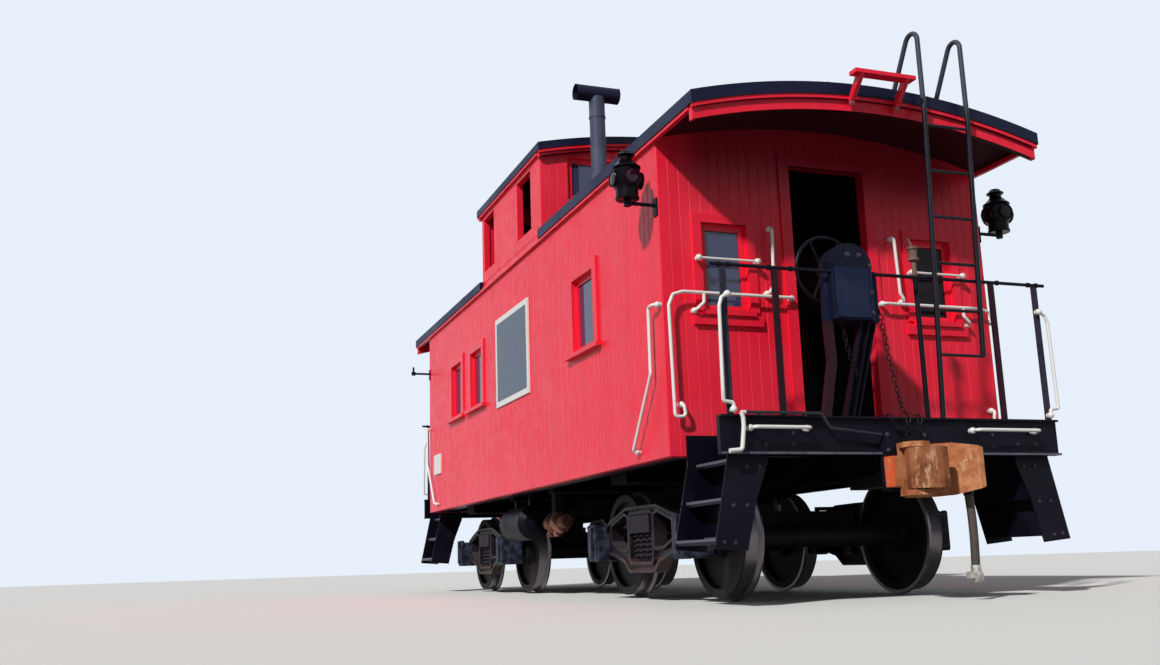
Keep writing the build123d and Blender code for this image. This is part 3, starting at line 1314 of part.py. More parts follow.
# Uncoupling levers along the end sill, each a row of points: y, z
LEVER_OUT = 30.0
LEVER_DIAMETER = 22.0
LEVER_BEND = 38.0
HANDLE_DIAMETER = 28.0
HANDLE_BEND = 24.0
LEVER_ROUTE = [(-1196.0, 1194.0), (-620.0, 1194.0), (-560.0, 1100.0), (-STRIKER_HALF - 14, 1060.0)]
HANDLE_ROUTE = [(-1196.0, 1194.0), (-1184.0, 1155.0), (-1184.0, 1100.0), (-1203.0, 960.0), (-1292.0, 952.0)]
LEVER_EYES = [-1060.0, -740.0]
EYE_HALF = 8.0
EYE_FOOT = 2.0
with BuildPart() as uncoupling_levers:
    lever_x = END_SILL_X + LEVER_OUT
    bar([(lever_x, y, z) for y, z in LEVER_ROUTE], LEVER_DIAMETER, LEVER_BEND)
    bar([(lever_x, y, z) for y, z in HANDLE_ROUTE], HANDLE_DIAMETER, HANDLE_BEND)
    for y in LEVER_EYES:
        eye = (FLOOR_Z - END_SILL_PLATE + EYE_FOOT, LEVER_ROUTE[0][1] - EYE_HALF)
        board((END_SILL_X, lever_x + EYE_HALF), (y - EYE_HALF, y + EYE_HALF), eye)
    add(uncoupling_levers.part.rotate(Axis.Z, 180))

# Brake gear under the floor: reservoir with domed ends, and the brake cylinder
TANK_X = (-1000.0, -250.0)
TANK_Y = -1080.0
TANK_Z = 715.0
TANK_RADIUS = 172.0
TANK_DOME = 60.0
TANK_STRAPS = [-860.0, -390.0]
STRAP_HALF = 20.0
CYLINDER_AT = (340.0, 700.0, 780.0)
CYLINDER_RADIUS = 150.0
CYLINDER_LENGTH = 440.0
with BuildPart() as brake_gear:
    low_x, high_x = TANK_X
    with BuildSketch(Plane(origin=(0, TANK_Y, TANK_Z), x_dir=(1, 0, 0), z_dir=(0, -1, 0))) as tank:
        with BuildLine() as outline:
            Polyline(
                (low_x, 0),
                (high_x, 0),
                (high_x - TANK_DOME / 3, TANK_RADIUS * 0.6),
                (high_x - TANK_DOME, TANK_RADIUS),
                (low_x + TANK_DOME, TANK_RADIUS),
                (low_x + TANK_DOME / 3, TANK_RADIUS * 0.6),
                close=True,
            )
        make_face(outline.edges())
    revolve(profiles=tank.sketch, axis=Axis((0, TANK_Y, TANK_Z), (1, 0, 0)))
    for x in TANK_STRAPS:
        strap_y = (TANK_Y - STRAP_HALF, TANK_Y + STRAP_HALF)
        board((x - STRAP_HALF, x + STRAP_HALF), strap_y, (TANK_Z + TANK_RADIUS - STRAP_HALF, floor_under))
    with Locations(Location(CYLINDER_AT, (0, 90, 0))):
        Cylinder(CYLINDER_RADIUS, CYLINDER_LENGTH)
    cylinder_x, cylinder_y, cylinder_z = CYLINDER_AT
    board(
        (cylinder_x - CYLINDER_RADIUS, cylinder_x + CYLINDER_RADIUS),
        (cylinder_y - 3 * STRAP_HALF, cylinder_y + 3 * STRAP_HALF),
        (cylinder_z + CYLINDER_RADIUS - STRAP_HALF, floor_under),
    )

# Brake valve beside the reservoir, a rusty casting of drums and flanges
# Drums along the car: start x, length, radius
VALVE_DRUMS = [
    (-110.0, 150.0, 66.0),
    (40.0, 26.0, 100.0),
    (66.0, 150.0, 78.0),
    (216.0, 26.0, 104.0),
    (242.0, 190.0, 60.0),
]
VALVE_AT = (-985.0, 690.0)
BOWL_X = [-20.0, 150.0]
BOWL_RADIUS = 44.0
BOWL_DEPTH = 130.0
STEM_X = (90.0, 200.0)
STEM_HALF = 40.0
with BuildPart() as brake_valve:
    valve_y, valve_z = VALVE_AT
    for start, length, radius in VALVE_DRUMS:
        with Locations(Location((start + length / 2, valve_y, valve_z), (0, 90, 0))):
            Cylinder(radius, length)
    for x in BOWL_X:
        with Locations((x, valve_y, valve_z)):
            Cylinder(BOWL_RADIUS, BOWL_DEPTH, align=(Align.CENTER, Align.CENTER, Align.MAX))
    stem_y = (valve_y - STEM_HALF, valve_y + STEM_HALF)
    board(STEM_X, stem_y, (valve_z + STEM_HALF, floor_under))

# Air hoses hanging beside each coupler, from an angle fitting down to their couplings
HOSE_Y = 265.0
HOSE_TOP = (4545.0, HOSE_Y, 650.0)
HOSE_ROUTE = [
    HOSE_TOP,
    (4553.0, HOSE_Y + 1, 555.0),
    (4560.0, HOSE_Y - 2, 430.0),
    (4561.0, HOSE_Y - 6, 315.0),
    (4556.0, HOSE_Y - 8, 215.0),
]
FITTING_Z = 732.0
FITTING_DIAMETER = 64.0
FITTING_BEND = 40.0
FITTING_CLAMP = 36.0
ELBOW_INSET = 5.0
with BuildPart() as hose_fittings:
    fitting_x = END_SILL_X - END_SILL_FLANGE - END_SILL_WEB
    elbow = (HOSE_TOP[0] - ELBOW_INSET, HOSE_Y, FITTING_Z)
    bar([(fitting_x, HOSE_Y, FITTING_Z), elbow, HOSE_TOP], FITTING_DIAMETER, FITTING_BEND)
    board(
        (fitting_x, fitting_x + END_SILL_WEB),
        (HOSE_Y - FITTING_CLAMP, HOSE_Y + FITTING_CLAMP),
        (FITTING_Z - FITTING_CLAMP, END_SILL_BOTTOM_Z),
    )
    add(hose_fittings.part.rotate(Axis.Z, 180))

ARC_SHARE = 0.45


def bend_radii(points):
    """The largest arc that each corner of a hose's route has room for."""
    radii = []
    for before, corner, after in zip(points, points[1:], points[2:]):
        run_in = Vector(*corner) - Vector(*before)
        run_out = Vector(*after) - Vector(*corner)
        turn = radians(run_in.get_angle(run_out))
        radii.append(ARC_SHARE * min(run_in.length, run_out.length) / tan(turn / 2))
    return radii


def turned(points, turn):
    """Points at the other end of the body when turn is -1."""
    return [(turn * x, turn * y, z) for x, y, z in points]


def air_hose(turn):
    """The free hose at one end."""
    points = turned(HOSE_ROUTE, turn)
    radii = bend_radii(points)
    print("air hose radii", [round(radius) for radius in radii])
    with BuildLine() as route:
        FilletPolyline(*points, radius=radii)
    with BuildSketch(Plane(origin=route.line @ 0, z_dir=route.line % 0)) as section:
        Circle(HOSE_DIAMETER / 2)
    sweep(sections=section.sketch, path=route.line)


with BuildPart() as air_hose_near:
    air_hose(1)

with BuildPart() as air_hose_far:
    air_hose(-1)

# Hose couplings: a stem, and a flat round head turned sideways
GLADHAND_STEM = 40.0
GLADHAND_RADIUS = 40.0
GLADHAND_WIDTH = 46.0
STEM_PROUD = 4.0
HEAD_OVERLAP = 14.0
LATCH_HALF = 22.0
LATCH_REACH = 62.0


def gladhand(turn):
    """The coupling at the foot of one hose."""
    x, y, z = turned(HOSE_ROUTE, turn)[-1]
    with Locations((x, y, z)):
        Cylinder(HOSE_DIAMETER / 2 + STEM_PROUD, GLADHAND_STEM, align=(Align.CENTER, Align.CENTER, Align.MAX))
    with Locations(Location((x, y, z - GLADHAND_STEM - GLADHAND_RADIUS + HEAD_OVERLAP), (90, 0, 0))):
        Cylinder(GLADHAND_RADIUS, GLADHAND_WIDTH)
    board(
        (x - LATCH_HALF, x + LATCH_HALF),
        sorted((y, y - turn * LATCH_REACH)),
        (z - GLADHAND_STEM - GLADHAND_RADIUS, z - GLADHAND_STEM),
    )


with BuildPart() as gladhand_near:
    gladhand(1)

with BuildPart() as gladhand_far:
    gladhand(-1)

PARTS = {
    "wheelset_1": wheelset_1,
    "wheelset_2": wheelset_2,
    "wheelset_3": wheelset_3,
    "wheelset_4": wheelset_4,
    "side_frames_near": side_frames_near,
    "side_frames_far": side_frames_far,
    "truck_bolster_near": truck_bolster_near,
    "truck_bolster_far": truck_bolster_far,
    "brake_beams_near": brake_beams_near,
    "brake_beams_far": brake_beams_far,
    "centre_sills": centre_sills,
    "side_sills": side_sills,
    "body_bolsters": body_bolsters,
    "cross_bearers": cross_bearers,
    "end_sills": end_sills,
    "floor_deck": floor_deck,
    "side_walls": side_walls,
    "end_walls": end_walls,
    "main_roof": main_roof,
    "cupola_walls": cupola_walls,
    "cupola_roof": cupola_roof,
    "roof_fascias": roof_fascias,
    "window_casings": window_casings,
    "window_sashes": window_sashes,
    "window_glass": window_glass,
    "sign_boards": sign_boards,
    "door_near": door_near,
    "door_far": door_far,
    "steps": steps,
    "side_handrails": side_handrails,
    "end_handrails": end_handrails,
    "end_railings": end_railings,
    "ladders": ladders,
    "running_boards": running_boards,
    "smoke_jack": smoke_jack,
    "lamp_brackets": lamp_brackets,
    "marker_lamps": marker_lamps,
    "couplers": couplers,
    "knuckle_near": knuckle_near,
    "knuckle_far": knuckle_far,
    "brake_stands": brake_stands,
    "brake_wheel_near": brake_wheel_near,
    "brake_wheel_far": brake_wheel_far,
    "signal_pipes": signal_pipes,
    "uncoupling_levers": uncoupling_levers,
    "brake_gear": brake_gear,
    "brake_valve": brake_valve,
    "hose_fittings": hose_fittings,
    "air_hose_near": air_hose_near,
    "air_hose_far": air_hose_far,
    "gladhand_near": gladhand_near,
    "gladhand_far": gladhand_far,
}
os.makedirs("parts", exist_ok=True)
for name, piece in PARTS.items():
    piece.part.label = name
    export_step(piece.part, f"parts/{name}.step")
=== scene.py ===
# %% [markdown]
# # A cupola caboose, dressed over its construction model
#
# A caboose is the crew's car at the tail of a freight train: a sheathed wooden cabin on a steel
# underframe and two four-wheel trucks, with a raised lookout, the cupola, and an open platform at
# each end. Its construction model already holds every rigid piece at its real size. This file gives
# each piece its finish and adds what is too small for the construction: bolts, chains, lenses and
# springs. Everything is in metres in the model's own frame: +X is the end whose door stands open,
# -Y is the side that the camera sees, and z = 0 is under the wheel flanges.

import json
import math

import bmesh
import bpy
from mathutils import Matrix, Vector


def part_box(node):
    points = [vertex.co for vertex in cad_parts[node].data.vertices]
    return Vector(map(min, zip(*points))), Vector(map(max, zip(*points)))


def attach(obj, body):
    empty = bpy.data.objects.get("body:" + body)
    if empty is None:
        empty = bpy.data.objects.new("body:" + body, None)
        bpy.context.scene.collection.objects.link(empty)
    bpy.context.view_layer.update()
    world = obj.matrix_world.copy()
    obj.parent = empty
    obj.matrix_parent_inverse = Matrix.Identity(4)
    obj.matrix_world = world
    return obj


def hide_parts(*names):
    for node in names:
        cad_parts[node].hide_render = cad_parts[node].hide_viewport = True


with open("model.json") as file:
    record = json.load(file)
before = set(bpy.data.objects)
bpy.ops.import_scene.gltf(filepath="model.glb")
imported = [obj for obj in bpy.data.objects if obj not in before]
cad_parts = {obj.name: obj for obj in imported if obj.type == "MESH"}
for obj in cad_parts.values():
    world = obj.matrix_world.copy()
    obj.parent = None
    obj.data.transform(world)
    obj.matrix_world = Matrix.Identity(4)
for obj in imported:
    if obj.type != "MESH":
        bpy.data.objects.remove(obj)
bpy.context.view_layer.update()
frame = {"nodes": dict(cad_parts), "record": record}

# %% [markdown]
# ## The camera
#
# The photograph was taken from knee height, close to one corner, looking a little upwards. A camera
# can be aimed with a tracking constraint, but its roll would then be lost. Here the three directions
# of the view are worked out from a heading, a pitch and a roll, and set as the camera's matrix, so
# that each of them can be read and changed by itself.

# %% Camera at the corner of the open platform
CAMERA_AT = Vector((10.4532, -4.5535, 0.3031))
HEADING, PITCH, ROLL = (math.radians(value) for value in (159.49, 11.62, -1.81))
LENS = 34.79

forward = Vector((math.cos(HEADING) * math.cos(PITCH), math.sin(HEADING) * math.cos(PITCH), math.sin(PITCH)))
level_right = forward.cross(Vector((0, 0, 1))).normalized()
level_up = level_right.cross(forward)
right = level_right * math.cos(ROLL) + level_up * math.sin(ROLL)
up = level_up * math.cos(ROLL) - level_right * math.sin(ROLL)

camera_data = bpy.data.cameras.new("camera")
camera_data.lens = LENS
camera_data.sensor_width = 36.0
camera = bpy.data.objects.new("camera", camera_data)
bpy.context.scene.collection.objects.link(camera)
camera.matrix_world = Matrix.Translation(CAMERA_AT) @ Matrix((right, up, -forward)).transposed().to_4x4()
bpy.context.scene.camera = camera

# %% [markdown]
# ## The air hoses
#
# The train's air passes from car to car through a rubber hose at each end, which hangs beside the
# coupler from an angle fitting down to its metal coupling. The hose is a smooth curve through a few
# points, so a NURBS spline of third order with a round bevel draws it with no corners. The far end's
# hose is the near one turned half way round the car.

# %% Hoses from the end fittings down to their couplings
HOSE_DIAMETER = 0.054
HOSE_ROUTE = [
    (4.545, 0.265, 0.650),
    (4.553, 0.266, 0.555),
    (4.560, 0.263, 0.430),
    (4.561, 0.259, 0.315),
    (4.556, 0.257, 0.215),
]


def half_turned(point):
    """The same place at the car's other end."""
    return (-point[0], -point[1], point[2])


def smooth_curve(name, route, steps):
    """A curve along a route that isn't yet in the scene, with so many steps from point to point."""
    curve = bpy.data.curves.new(name, "CURVE")
    curve.dimensions = "3D"
    curve.resolution_u = steps
    spline = curve.splines.new("NURBS")
    spline.points.add(len(route) - 1)
    for point, place in zip(spline.points, route):
        point.co = (*place, 1.0)
    spline.order_u = 3
    spline.use_endpoint_u = True
    return bpy.data.objects.new(name, curve)


def centre_line(curve):
    """The points that a curve runs through, before it has a bevel."""
    mesh = bpy.data.meshes.new_from_object(curve)
    points = [vertex.co.copy() for vertex in mesh.vertices]
    bpy.data.meshes.remove(mesh)
    return points


def hang_hose(end, route):
    """One free hose along its route."""
    hose = smooth_curve(f"air_hose_cover_{end}", route, steps=16)
    bpy.context.scene.collection.objects.link(hose)
    line = centre_line(hose)
    # The points carry the hose's radius and the bevel is 1, so that the curve's own box is the hose's
    for point in hose.data.splines[0].points:
        point.radius = HOSE_DIAMETER / 2
    hose.data.bevel_depth = 1.0
    hose.data.bevel_resolution = 6
    hose.data.use_fill_caps = True
    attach(hose, "root")
    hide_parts(f"air_hose_{end}")
    return hose


hoses = [
    hang_hose("near", HOSE_ROUTE),
    hang_hose("far", [half_turned(point) for point in HOSE_ROUTE]),
]

# %% [markdown]
# ## Tools for painting
#
# Every finish below is a small web of nodes that reads Object coordinates, which are the car's own
# metres, so a pattern has the same scale on every piece and stays put when a piece moves. A few
# helpers keep the webs short: one adds a node and links or sets its inputs, others wrap the sums,
# the noise, the blend of two colours and the bump that nearly every finish uses. A finished paint
# is kept under its name.

# %% Helpers for node webs
PAINTS = {}


def set_inputs(tree, node, **values):
    """Sets or links a node's inputs by name, with underscores for spaces, or by number after an i."""
    for key, value in values.items():
        socket = node.inputs[int(key[1:]) if key[1:].isdigit() else key.replace("_", " ")]
        if isinstance(value, bpy.types.NodeSocket):
            tree.links.new(value, socket)
        elif socket.type == "RGBA" and len(value) == 3:
            socket.default_value = (*value, 1.0)
        else:
            socket.default_value = value


class Web:
    """Adds nodes to one material and wires them."""

    def __init__(self, name):
        self.name = name
        self.material = bpy.data.materials.new(name)
        self.material.use_nodes = True
        self.tree = self.material.node_tree
        coordinates = self.add("TexCoord").outputs
        self.place = coordinates["Object"]
        self.at = self.add("SeparateXYZ", Vector=self.place).outputs
        self.facing = self.add("SeparateXYZ", Vector=coordinates["Normal"]).outputs
        self.x, self.y, self.z = self.at

    def add(self, kind, settings=None, **inputs):
        """A node of a kind, with its settings, and inputs that are values or other sockets."""
        node = self.tree.nodes.new("ShaderNode" + kind)
        for key, value in (settings or {}).items():
            setattr(node, key, value)
        set_inputs(self.tree, node, **inputs)
        return node

    def math(self, operation, *values):
        inputs = {f"i{i}": value for i, value in enumerate(values)}
        return self.add("Math", {"operation": operation}, **inputs).outputs[0]

    def plus(self, first, second):
        return self.math("ADD", first, second)

    def minus(self, first, second):
        return self.math("SUBTRACT", first, second)

    def times(self, first, *others):
        """The product of values, or where all of some shares hold."""
        for other in others:
            first = self.math("MULTIPLY", first, other)
        return first

    def most(self, first, *others):
        """The largest of values, or where any of some shares holds."""
        for other in others:
            first = self.math("MAXIMUM", first, other)
        return first

    def size(self, value):
        return self.math("ABSOLUTE", value)

    def above(self, value, limit):
        return self.math("GREATER_THAN", value, limit)

    def below(self, value, limit):
        return self.math("LESS_THAN", value, limit)

    def off(self, value, middle):
        """How far a value lies from a middle, to either side."""
        return self.size(self.minus(value, middle))

    def within(self, value, reach):
        return self.below(self.size(value), reach)

    def outward(self, axis):
        """How far the surface faces away from the car's middle, along X (0) or Y (1)."""
        return self.times(self.facing[axis], self.math("SIGN", self.at[axis]))

    def seen_y(self):
        """Y as seen from each end: the far end is the near one turned half way round."""
        return self.times(self.y, self.math("SIGN", self.x))

    def stretched(self, *scale):
        """The place with each axis scaled, for grain that runs one way."""
        return self.add("Mapping", Vector=self.place, Scale=scale).outputs[0]

    def noise(self, scale, detail=3.0, place=None, roughness=0.5):
        """Noise between about 0 and 1."""
        place = place or self.place
        node = self.add("TexNoise", Vector=place, Scale=scale, Detail=detail, Roughness=roughness)
        return node.outputs["Fac"]

    def span(self, value, from_low, from_high, to_low=0.0, to_high=1.0):
        """A value carried from one range to another, and held at its ends."""
        limits = {"From_Min": from_low, "From_Max": from_high, "To_Min": to_low, "To_Max": to_high}
        return self.add("MapRange", {"interpolation_type": "SMOOTHSTEP"}, Value=value, **limits).outputs[0]

    def blend(self, share, first, second):
        """Two colours mixed by a share."""
        return self.add("Mix", {"data_type": "RGBA"}, i0=share, i6=first, i7=second).outputs[2]

    def bump(self, height, distance, strength=1.0):
        return self.add("Bump", Height=height, Distance=distance, Strength=strength).outputs[0]

    def finish(self, **inputs):
        """Sets the shader's own sockets and keeps the paint under its name."""
        set_inputs(self.tree, self.tree.nodes["Principled BSDF"], **inputs)
        PAINTS[self.name] = self.material


# %% [markdown]
# ## Floor, sky and lamps
#
# The car stands on a plain pale floor. What the camera sees behind it is the world's colour, which
# is set apart from the light that the world gives: a Light Path node shows the pale tone to the
# camera and to glossy reflections, while the lamps stay at a level at which paint looks as it was
# mixed. One sun from the left and above gives the daylight. Its direction was worked out from the
# shadows that the handrails throw on the end wall. The floor is pale to the camera, but sends back
# less light, so that the car's underside stays dark.

# %% Floor, world and lamps
FLOOR_COLOUR = (0.80, 0.80, 0.79)
FLOOR_BOUNCE = (0.26, 0.255, 0.25)
FLOOR_RADIUS, FLOOR_DROP = 60.0, 0.0005
SKY_COLOUR = (0.80, 0.87, 0.96)
DOME_COLOUR, DOME_LIGHT = (0.90, 0.95, 1.0), 0.19
SUN_DIRECTION = Vector((0.486, -0.634, 0.602))
SUN_STRENGTH = 3.35
SUN_ANGLE = math.radians(3)
SUN_COLOUR = (1.0, 0.975, 0.94)


def deselect_all():
    for item in bpy.context.selected_objects:
        item.select_set(False)


def lay_floor():
    """A wide round of pale floor under the wheels."""
    deselect_all()
    under = (0, 0, -FLOOR_DROP)
    bpy.ops.mesh.primitive_circle_add(vertices=96, radius=FLOOR_RADIUS, fill_type="NGON", location=under)
    floor = bpy.context.object
    floor.name = "floor"
    web = Web("pale_floor")
    bounced = web.add("LightPath").outputs["Is Diffuse Ray"]
    tone = web.blend(bounced, FLOOR_COLOUR, FLOOR_BOUNCE)
    web.finish(Base_Color=tone, Roughness=0.9, Specular_IOR_Level=0.1)
    floor.data.materials.append(PAINTS["pale_floor"])


def light_world():
    """Pale to the camera, and an even dome of light."""
    world = bpy.data.worlds.new("sky")
    world.use_nodes = True
    bpy.context.scene.world = world
    tree = world.node_tree
    tree.nodes.clear()
    output, mix, light, shown, path = (
        tree.nodes.new("ShaderNode" + kind)
        for kind in ("OutputWorld", "MixShader", "Background", "Background", "LightPath")
    )
    seen = path.outputs["Is Camera Ray"]
    for ray in ("Is Transmission Ray", "Is Glossy Ray"):
        either = tree.nodes.new("ShaderNodeMath")
        either.operation = "MAXIMUM"
        set_inputs(tree, either, i0=seen, i1=path.outputs[ray])
        seen = either.outputs[0]
    set_inputs(tree, light, Color=DOME_COLOUR, Strength=DOME_LIGHT)
    set_inputs(tree, shown, Color=SKY_COLOUR, Strength=1.0)
    set_inputs(tree, mix, i0=seen, i1=light.outputs[0], i2=shown.outputs[0])
    set_inputs(tree, output, Surface=mix.outputs[0])


def hang_sun():
    lamp = bpy.data.lights.new("sun", "SUN")
    lamp.energy = SUN_STRENGTH
    lamp.angle = SUN_ANGLE
    lamp.color = SUN_COLOUR
    sun = bpy.data.objects.new("sun", lamp)
    bpy.context.scene.collection.objects.link(sun)
    sun.rotation_mode = "QUATERNION"
    sun.rotation_quaternion = SUN_DIRECTION.to_track_quat("Z", "Y")


lay_floor()
light_world()
hang_sun()
bpy.context.scene.view_settings.view_transform = "Standard"
print("floor, world and sun are in place")

# %% [markdown]
# ## Red paint
#
# The cabin is boarded with narrow pine, painted a glossy fire-engine red. The boards and their V
# joints are modelled further on, so this finish gives the paint and some painted shade: each board has
# its own slight tint and brush grain, and dust lies low on the walls. Inside the cabin the same walls
# are painted nearly black, as painted shade, because no lamp is lit there. A mask from the place tells
# inside from outside. Three more places get painted shade: the end walls close under the roof's crown,
# the same walls behind the end sill, and the undersides of window heads and eaves.

# %% Red boards and red trim
SIDE_LENGTH, SIDE_BOARDS = 7.214, 90
END_WIDTH, END_BOARDS = 2.76, 34
RED = (0.90, 0.014, 0.046)
RED_DEEP = (0.74, 0.009, 0.032)
RED_DUSTY = (0.84, 0.075, 0.120)
# Painted shade for the cabin's unlit inside
INSIDE_SHADE = (0.004, 0.0015, 0.003)
# Painted shade on the end walls under the crown and behind the end sill
CROWN_SHADE = (0.16, 0.0025, 0.012)
SILL_SHADE = (0.006, 0.005, 0.009)
# Painted shade under window heads, fascia and eaves
HEAD_SHADE = (0.010, 0.0008, 0.002)
# Where the walls' insides are, and the cupola's
INSIDE_X, INSIDE_Y, WALL_BACK_X = 3.540, 1.312, 3.62
CUPOLA_FOOT, CUPOLA_MIDDLE, CUPOLA_INSIDE = 3.300, 0.029, 0.945
# Where the end walls are, the end sill's cover of them, and the lowest window head
END_WALL_X, END_WALL_REACH = 3.615, 0.085
CROWN_Y, CROWN_Z = (0.95, 1.34), (2.66, 3.16)
DUSTY_Z = (0.95, 1.35)
COVER_TOP, COVER_HALF, COVER_FROM_X = 1.130, 0.980, 3.600
HEAD_LOWEST, HEAD_REACH_X, HEAD_REACH_Y = 2.30, 4.292, 1.372


def darken_inside(web, colour):
    """Painted shade for the cabin's unlit inside: what lies between its walls, and what faces in from them.
    """
    in_length = web.times(web.within(web.x, INSIDE_X), web.below(web.z, CUPOLA_FOOT))
    between = web.most(in_length, web.below(web.off(web.x, CUPOLA_MIDDLE), CUPOLA_INSIDE))
    in_width = web.within(web.y, INSIDE_Y)
    side_back = web.times(web.below(web.outward(1), -0.5), between)
    at_end = web.times(web.above(web.size(web.x), INSIDE_X - 0.01), web.within(web.x, WALL_BACK_X))
    end_back = web.times(web.below(web.outward(0), -0.5), at_end, in_width)
    dark = web.most(web.times(between, in_width), side_back, end_back)
    return web.blend(dark, colour, INSIDE_SHADE)


def darken_ends(web, colour):
    """Painted shade on the end walls under the roof's crown and behind the end sill, where almost no light
    reaches.
    """
    on_wall = web.below(web.off(web.size(web.x), END_WALL_X), END_WALL_REACH)
    inwards = web.span(web.size(web.y), *CROWN_Y, 1.0, 0.0)
    crown = web.times(web.span(web.z, *CROWN_Z, 0.0, 0.80), on_wall, inwards)
    colour = web.blend(crown, colour, CROWN_SHADE)
    covered = web.times(web.below(web.z, COVER_TOP), web.within(web.y, COVER_HALF))
    return web.blend(web.times(covered, web.above(web.size(web.x), COVER_FROM_X)), colour, SILL_SHADE)


def paint_boards():
    web = Web("red_boards")
    on_side = web.above(web.size(web.facing[1]), 0.6)
    by_x = web.math("DIVIDE", web.x, SIDE_LENGTH / SIDE_BOARDS)
    by_y = web.math("DIVIDE", web.y, END_WIDTH / END_BOARDS)
    along = web.add("Mix", {"data_type": "FLOAT"}, i0=on_side, i2=by_y, i3=by_x).outputs[0]
    tint = web.add("TexWhiteNoise", {"noise_dimensions": "1D"}, W=web.math("FLOOR", along)).outputs["Value"]
    grain = web.noise(6.0, 5.0, web.stretched(9.0, 9.0, 0.35))
    colour = web.blend(web.times(tint, 0.5), RED, RED_DEEP)
    colour = web.blend(web.span(grain, 0.55, 0.8, 0.0, 0.25), colour, RED_DEEP)
    colour = web.blend(web.span(web.noise(1.3, 2.0), 0.45, 0.75, 0.0, 0.25), colour, RED_DUSTY)
    low = web.span(web.z, *DUSTY_Z, 0.35, 0.0)
    colour = web.blend(web.times(low, grain), colour, RED_DUSTY)
    web.finish(
        Base_Color=darken_inside(web, darken_ends(web, colour)),
        Roughness=web.span(web.noise(14.0, 4.0), 0.2, 0.8, 0.30, 0.46),
        Normal=web.bump(grain, 0.0006, 0.5),
        Specular_IOR_Level=0.30,
    )


def paint_trim(name, unlit_inside=True):
    web = Web(name)
    grain = web.noise(7.0, 5.0, web.stretched(3.0, 3.0, 0.6))
    colour = web.blend(web.span(web.noise(2.2, 3.0), 0.35, 0.75, 0.0, 0.5), RED, RED_DEEP)
    colour = web.blend(web.span(grain, 0.55, 0.8, 0.0, 0.15), colour, RED_DUSTY)
    colour = darken_ends(web, colour)
    if unlit_inside:
        # Painted shade on the down-facing undersides of window heads, fascia and eaves
        heads = web.times(web.below(web.facing[2], -0.7), web.above(web.z, HEAD_LOWEST))
        heads = web.times(heads, web.within(web.y, HEAD_REACH_Y), web.within(web.x, HEAD_REACH_X))
        colour = darken_inside(web, web.blend(heads, colour, HEAD_SHADE))
    web.finish(
        Base_Color=colour,
        Roughness=web.span(web.noise(18.0, 3.0), 0.2, 0.8, 0.26, 0.42),
        Normal=web.bump(grain, 0.0005, 0.5),
        Specular_IOR_Level=0.25,
    )


paint_boards()
paint_trim("red_trim")
paint_trim("red_door", unlit_inside=False)
print("red paints", list(PAINTS)[1:])

# %% [markdown]
# ## Black iron
#
# The steps, ladders, sills and railings are painted black with a low sheen. Two noises choose how
# dusty and how worn each place is, dust settles on whatever faces up, and a little rust comes
# through. The plain coats differ only in colour, dust and sheen, so they come from a table.

# %% Black paint on iron
IRON_BLACK, IRON_DUST = (0.0038, 0.0032, 0.0082), (0.040, 0.036, 0.060)
RUST_SPECKS = (0.07, 0.030, 0.018)
# Plain coats: colour, dust, share of dust, lowest roughness, dust on ledges, shine
COATS = {
    "black_iron": (IRON_BLACK, IRON_DUST, 0.18, 0.34, 0.5, 0.10),
    # The underframe's coat is a darker copy of the black, as painted shade under the car
    "underframe_shaded_black": ((0.0020, 0.0014, 0.0026), (0.010, 0.008, 0.011), 0.2, 0.55, 0.3, 0.04),
    "truck_casting": ((0.010, 0.006, 0.011), (0.075, 0.060, 0.078), 0.26, 0.40, 0.8, 0.12),
    "lamp_black": ((0.003, 0.001, 0.004), (0.012, 0.007, 0.016), 0.15, 0.16, 0.1, 0.10),
    "smoke_pipe": ((0.052, 0.062, 0.105), (0.150, 0.170, 0.240), 0.6, 0.40, 0.1, 0.2),
    "smoke_drum": ((0.016, 0.018, 0.042), (0.036, 0.042, 0.072), 0.3, 0.45, 0.0, 0.08),
    "bolt_grey": ((0.030, 0.028, 0.044), (0.090, 0.082, 0.105), 0.6, 0.30, 0.6, 0.25),
    "bolt_red": ((0.300, 0.150, 0.180), (0.420, 0.300, 0.330), 0.6, 0.35, 0.3, 0.3),
}


def start_iron(name, base=IRON_BLACK, dust=IRON_DUST, dust_share=0.18, rough_low=0.34, ledge=0.5):
    """Black paint, with grey dust in patches and on whatever faces up."""
    web = Web(name)
    patches = web.noise(3.2, 6.0)
    fine = web.noise(60.0, 4.0)
    colour = web.blend(web.times(web.span(patches, 0.45, 0.80), dust_share), base, dust)
    upward = web.times(web.span(web.facing[2], 0.5, 0.95, 0.0, ledge), web.span(fine, 0.25, 0.6, 0.5, 1.0))
    colour = web.blend(upward, colour, dust)
    specks = web.span(web.noise(24.0, 6.0, roughness=0.65), 0.66, 0.73, 0.0, 0.4)
    colour = web.blend(web.times(specks, web.span(patches, 0.5, 0.7)), colour, RUST_SPECKS)
    grime = web.plus(patches, web.times(fine, 0.3))
    rough = web.span(grime, 0.4, 1.0, rough_low, rough_low + 0.3)
    web.worn = {"Roughness": rough, "Normal": web.bump(fine, 0.0006, 0.45)}
    return web, colour


def finish_iron(web, colour, shine=0.10):
    web.finish(Base_Color=colour, Specular_IOR_Level=shine, **web.worn)


for name, (*coat, shine) in COATS.items():
    finish_iron(*start_iron(name, *coat), shine)
print("plain coats", list(COATS))

# %% [markdown]
# ## Ironwork of the platforms
#
# Some iron has places of its own: railing posts in two tones under a black top bar, a navy brake
# housing on a black leg, white grips on the lever rods, ladders with a painted reflection of the sky in
# slate above the roof's edge, a painted highlight along the lip of the end sill, and treads with
# lighter grey front edges. A test of where a place is, or of which way it faces, picks it out, and its
# colour is laid over the same black, whose sheen and bump run on across it.

# %% Railings, brake, levers, ladders, sills and steps
POST_PURPLE, POST_BLUE = (0.030, 0.008, 0.014), (0.036, 0.033, 0.056)
POST_TOP, OUTER_POST_Y = 2.142, 1.1


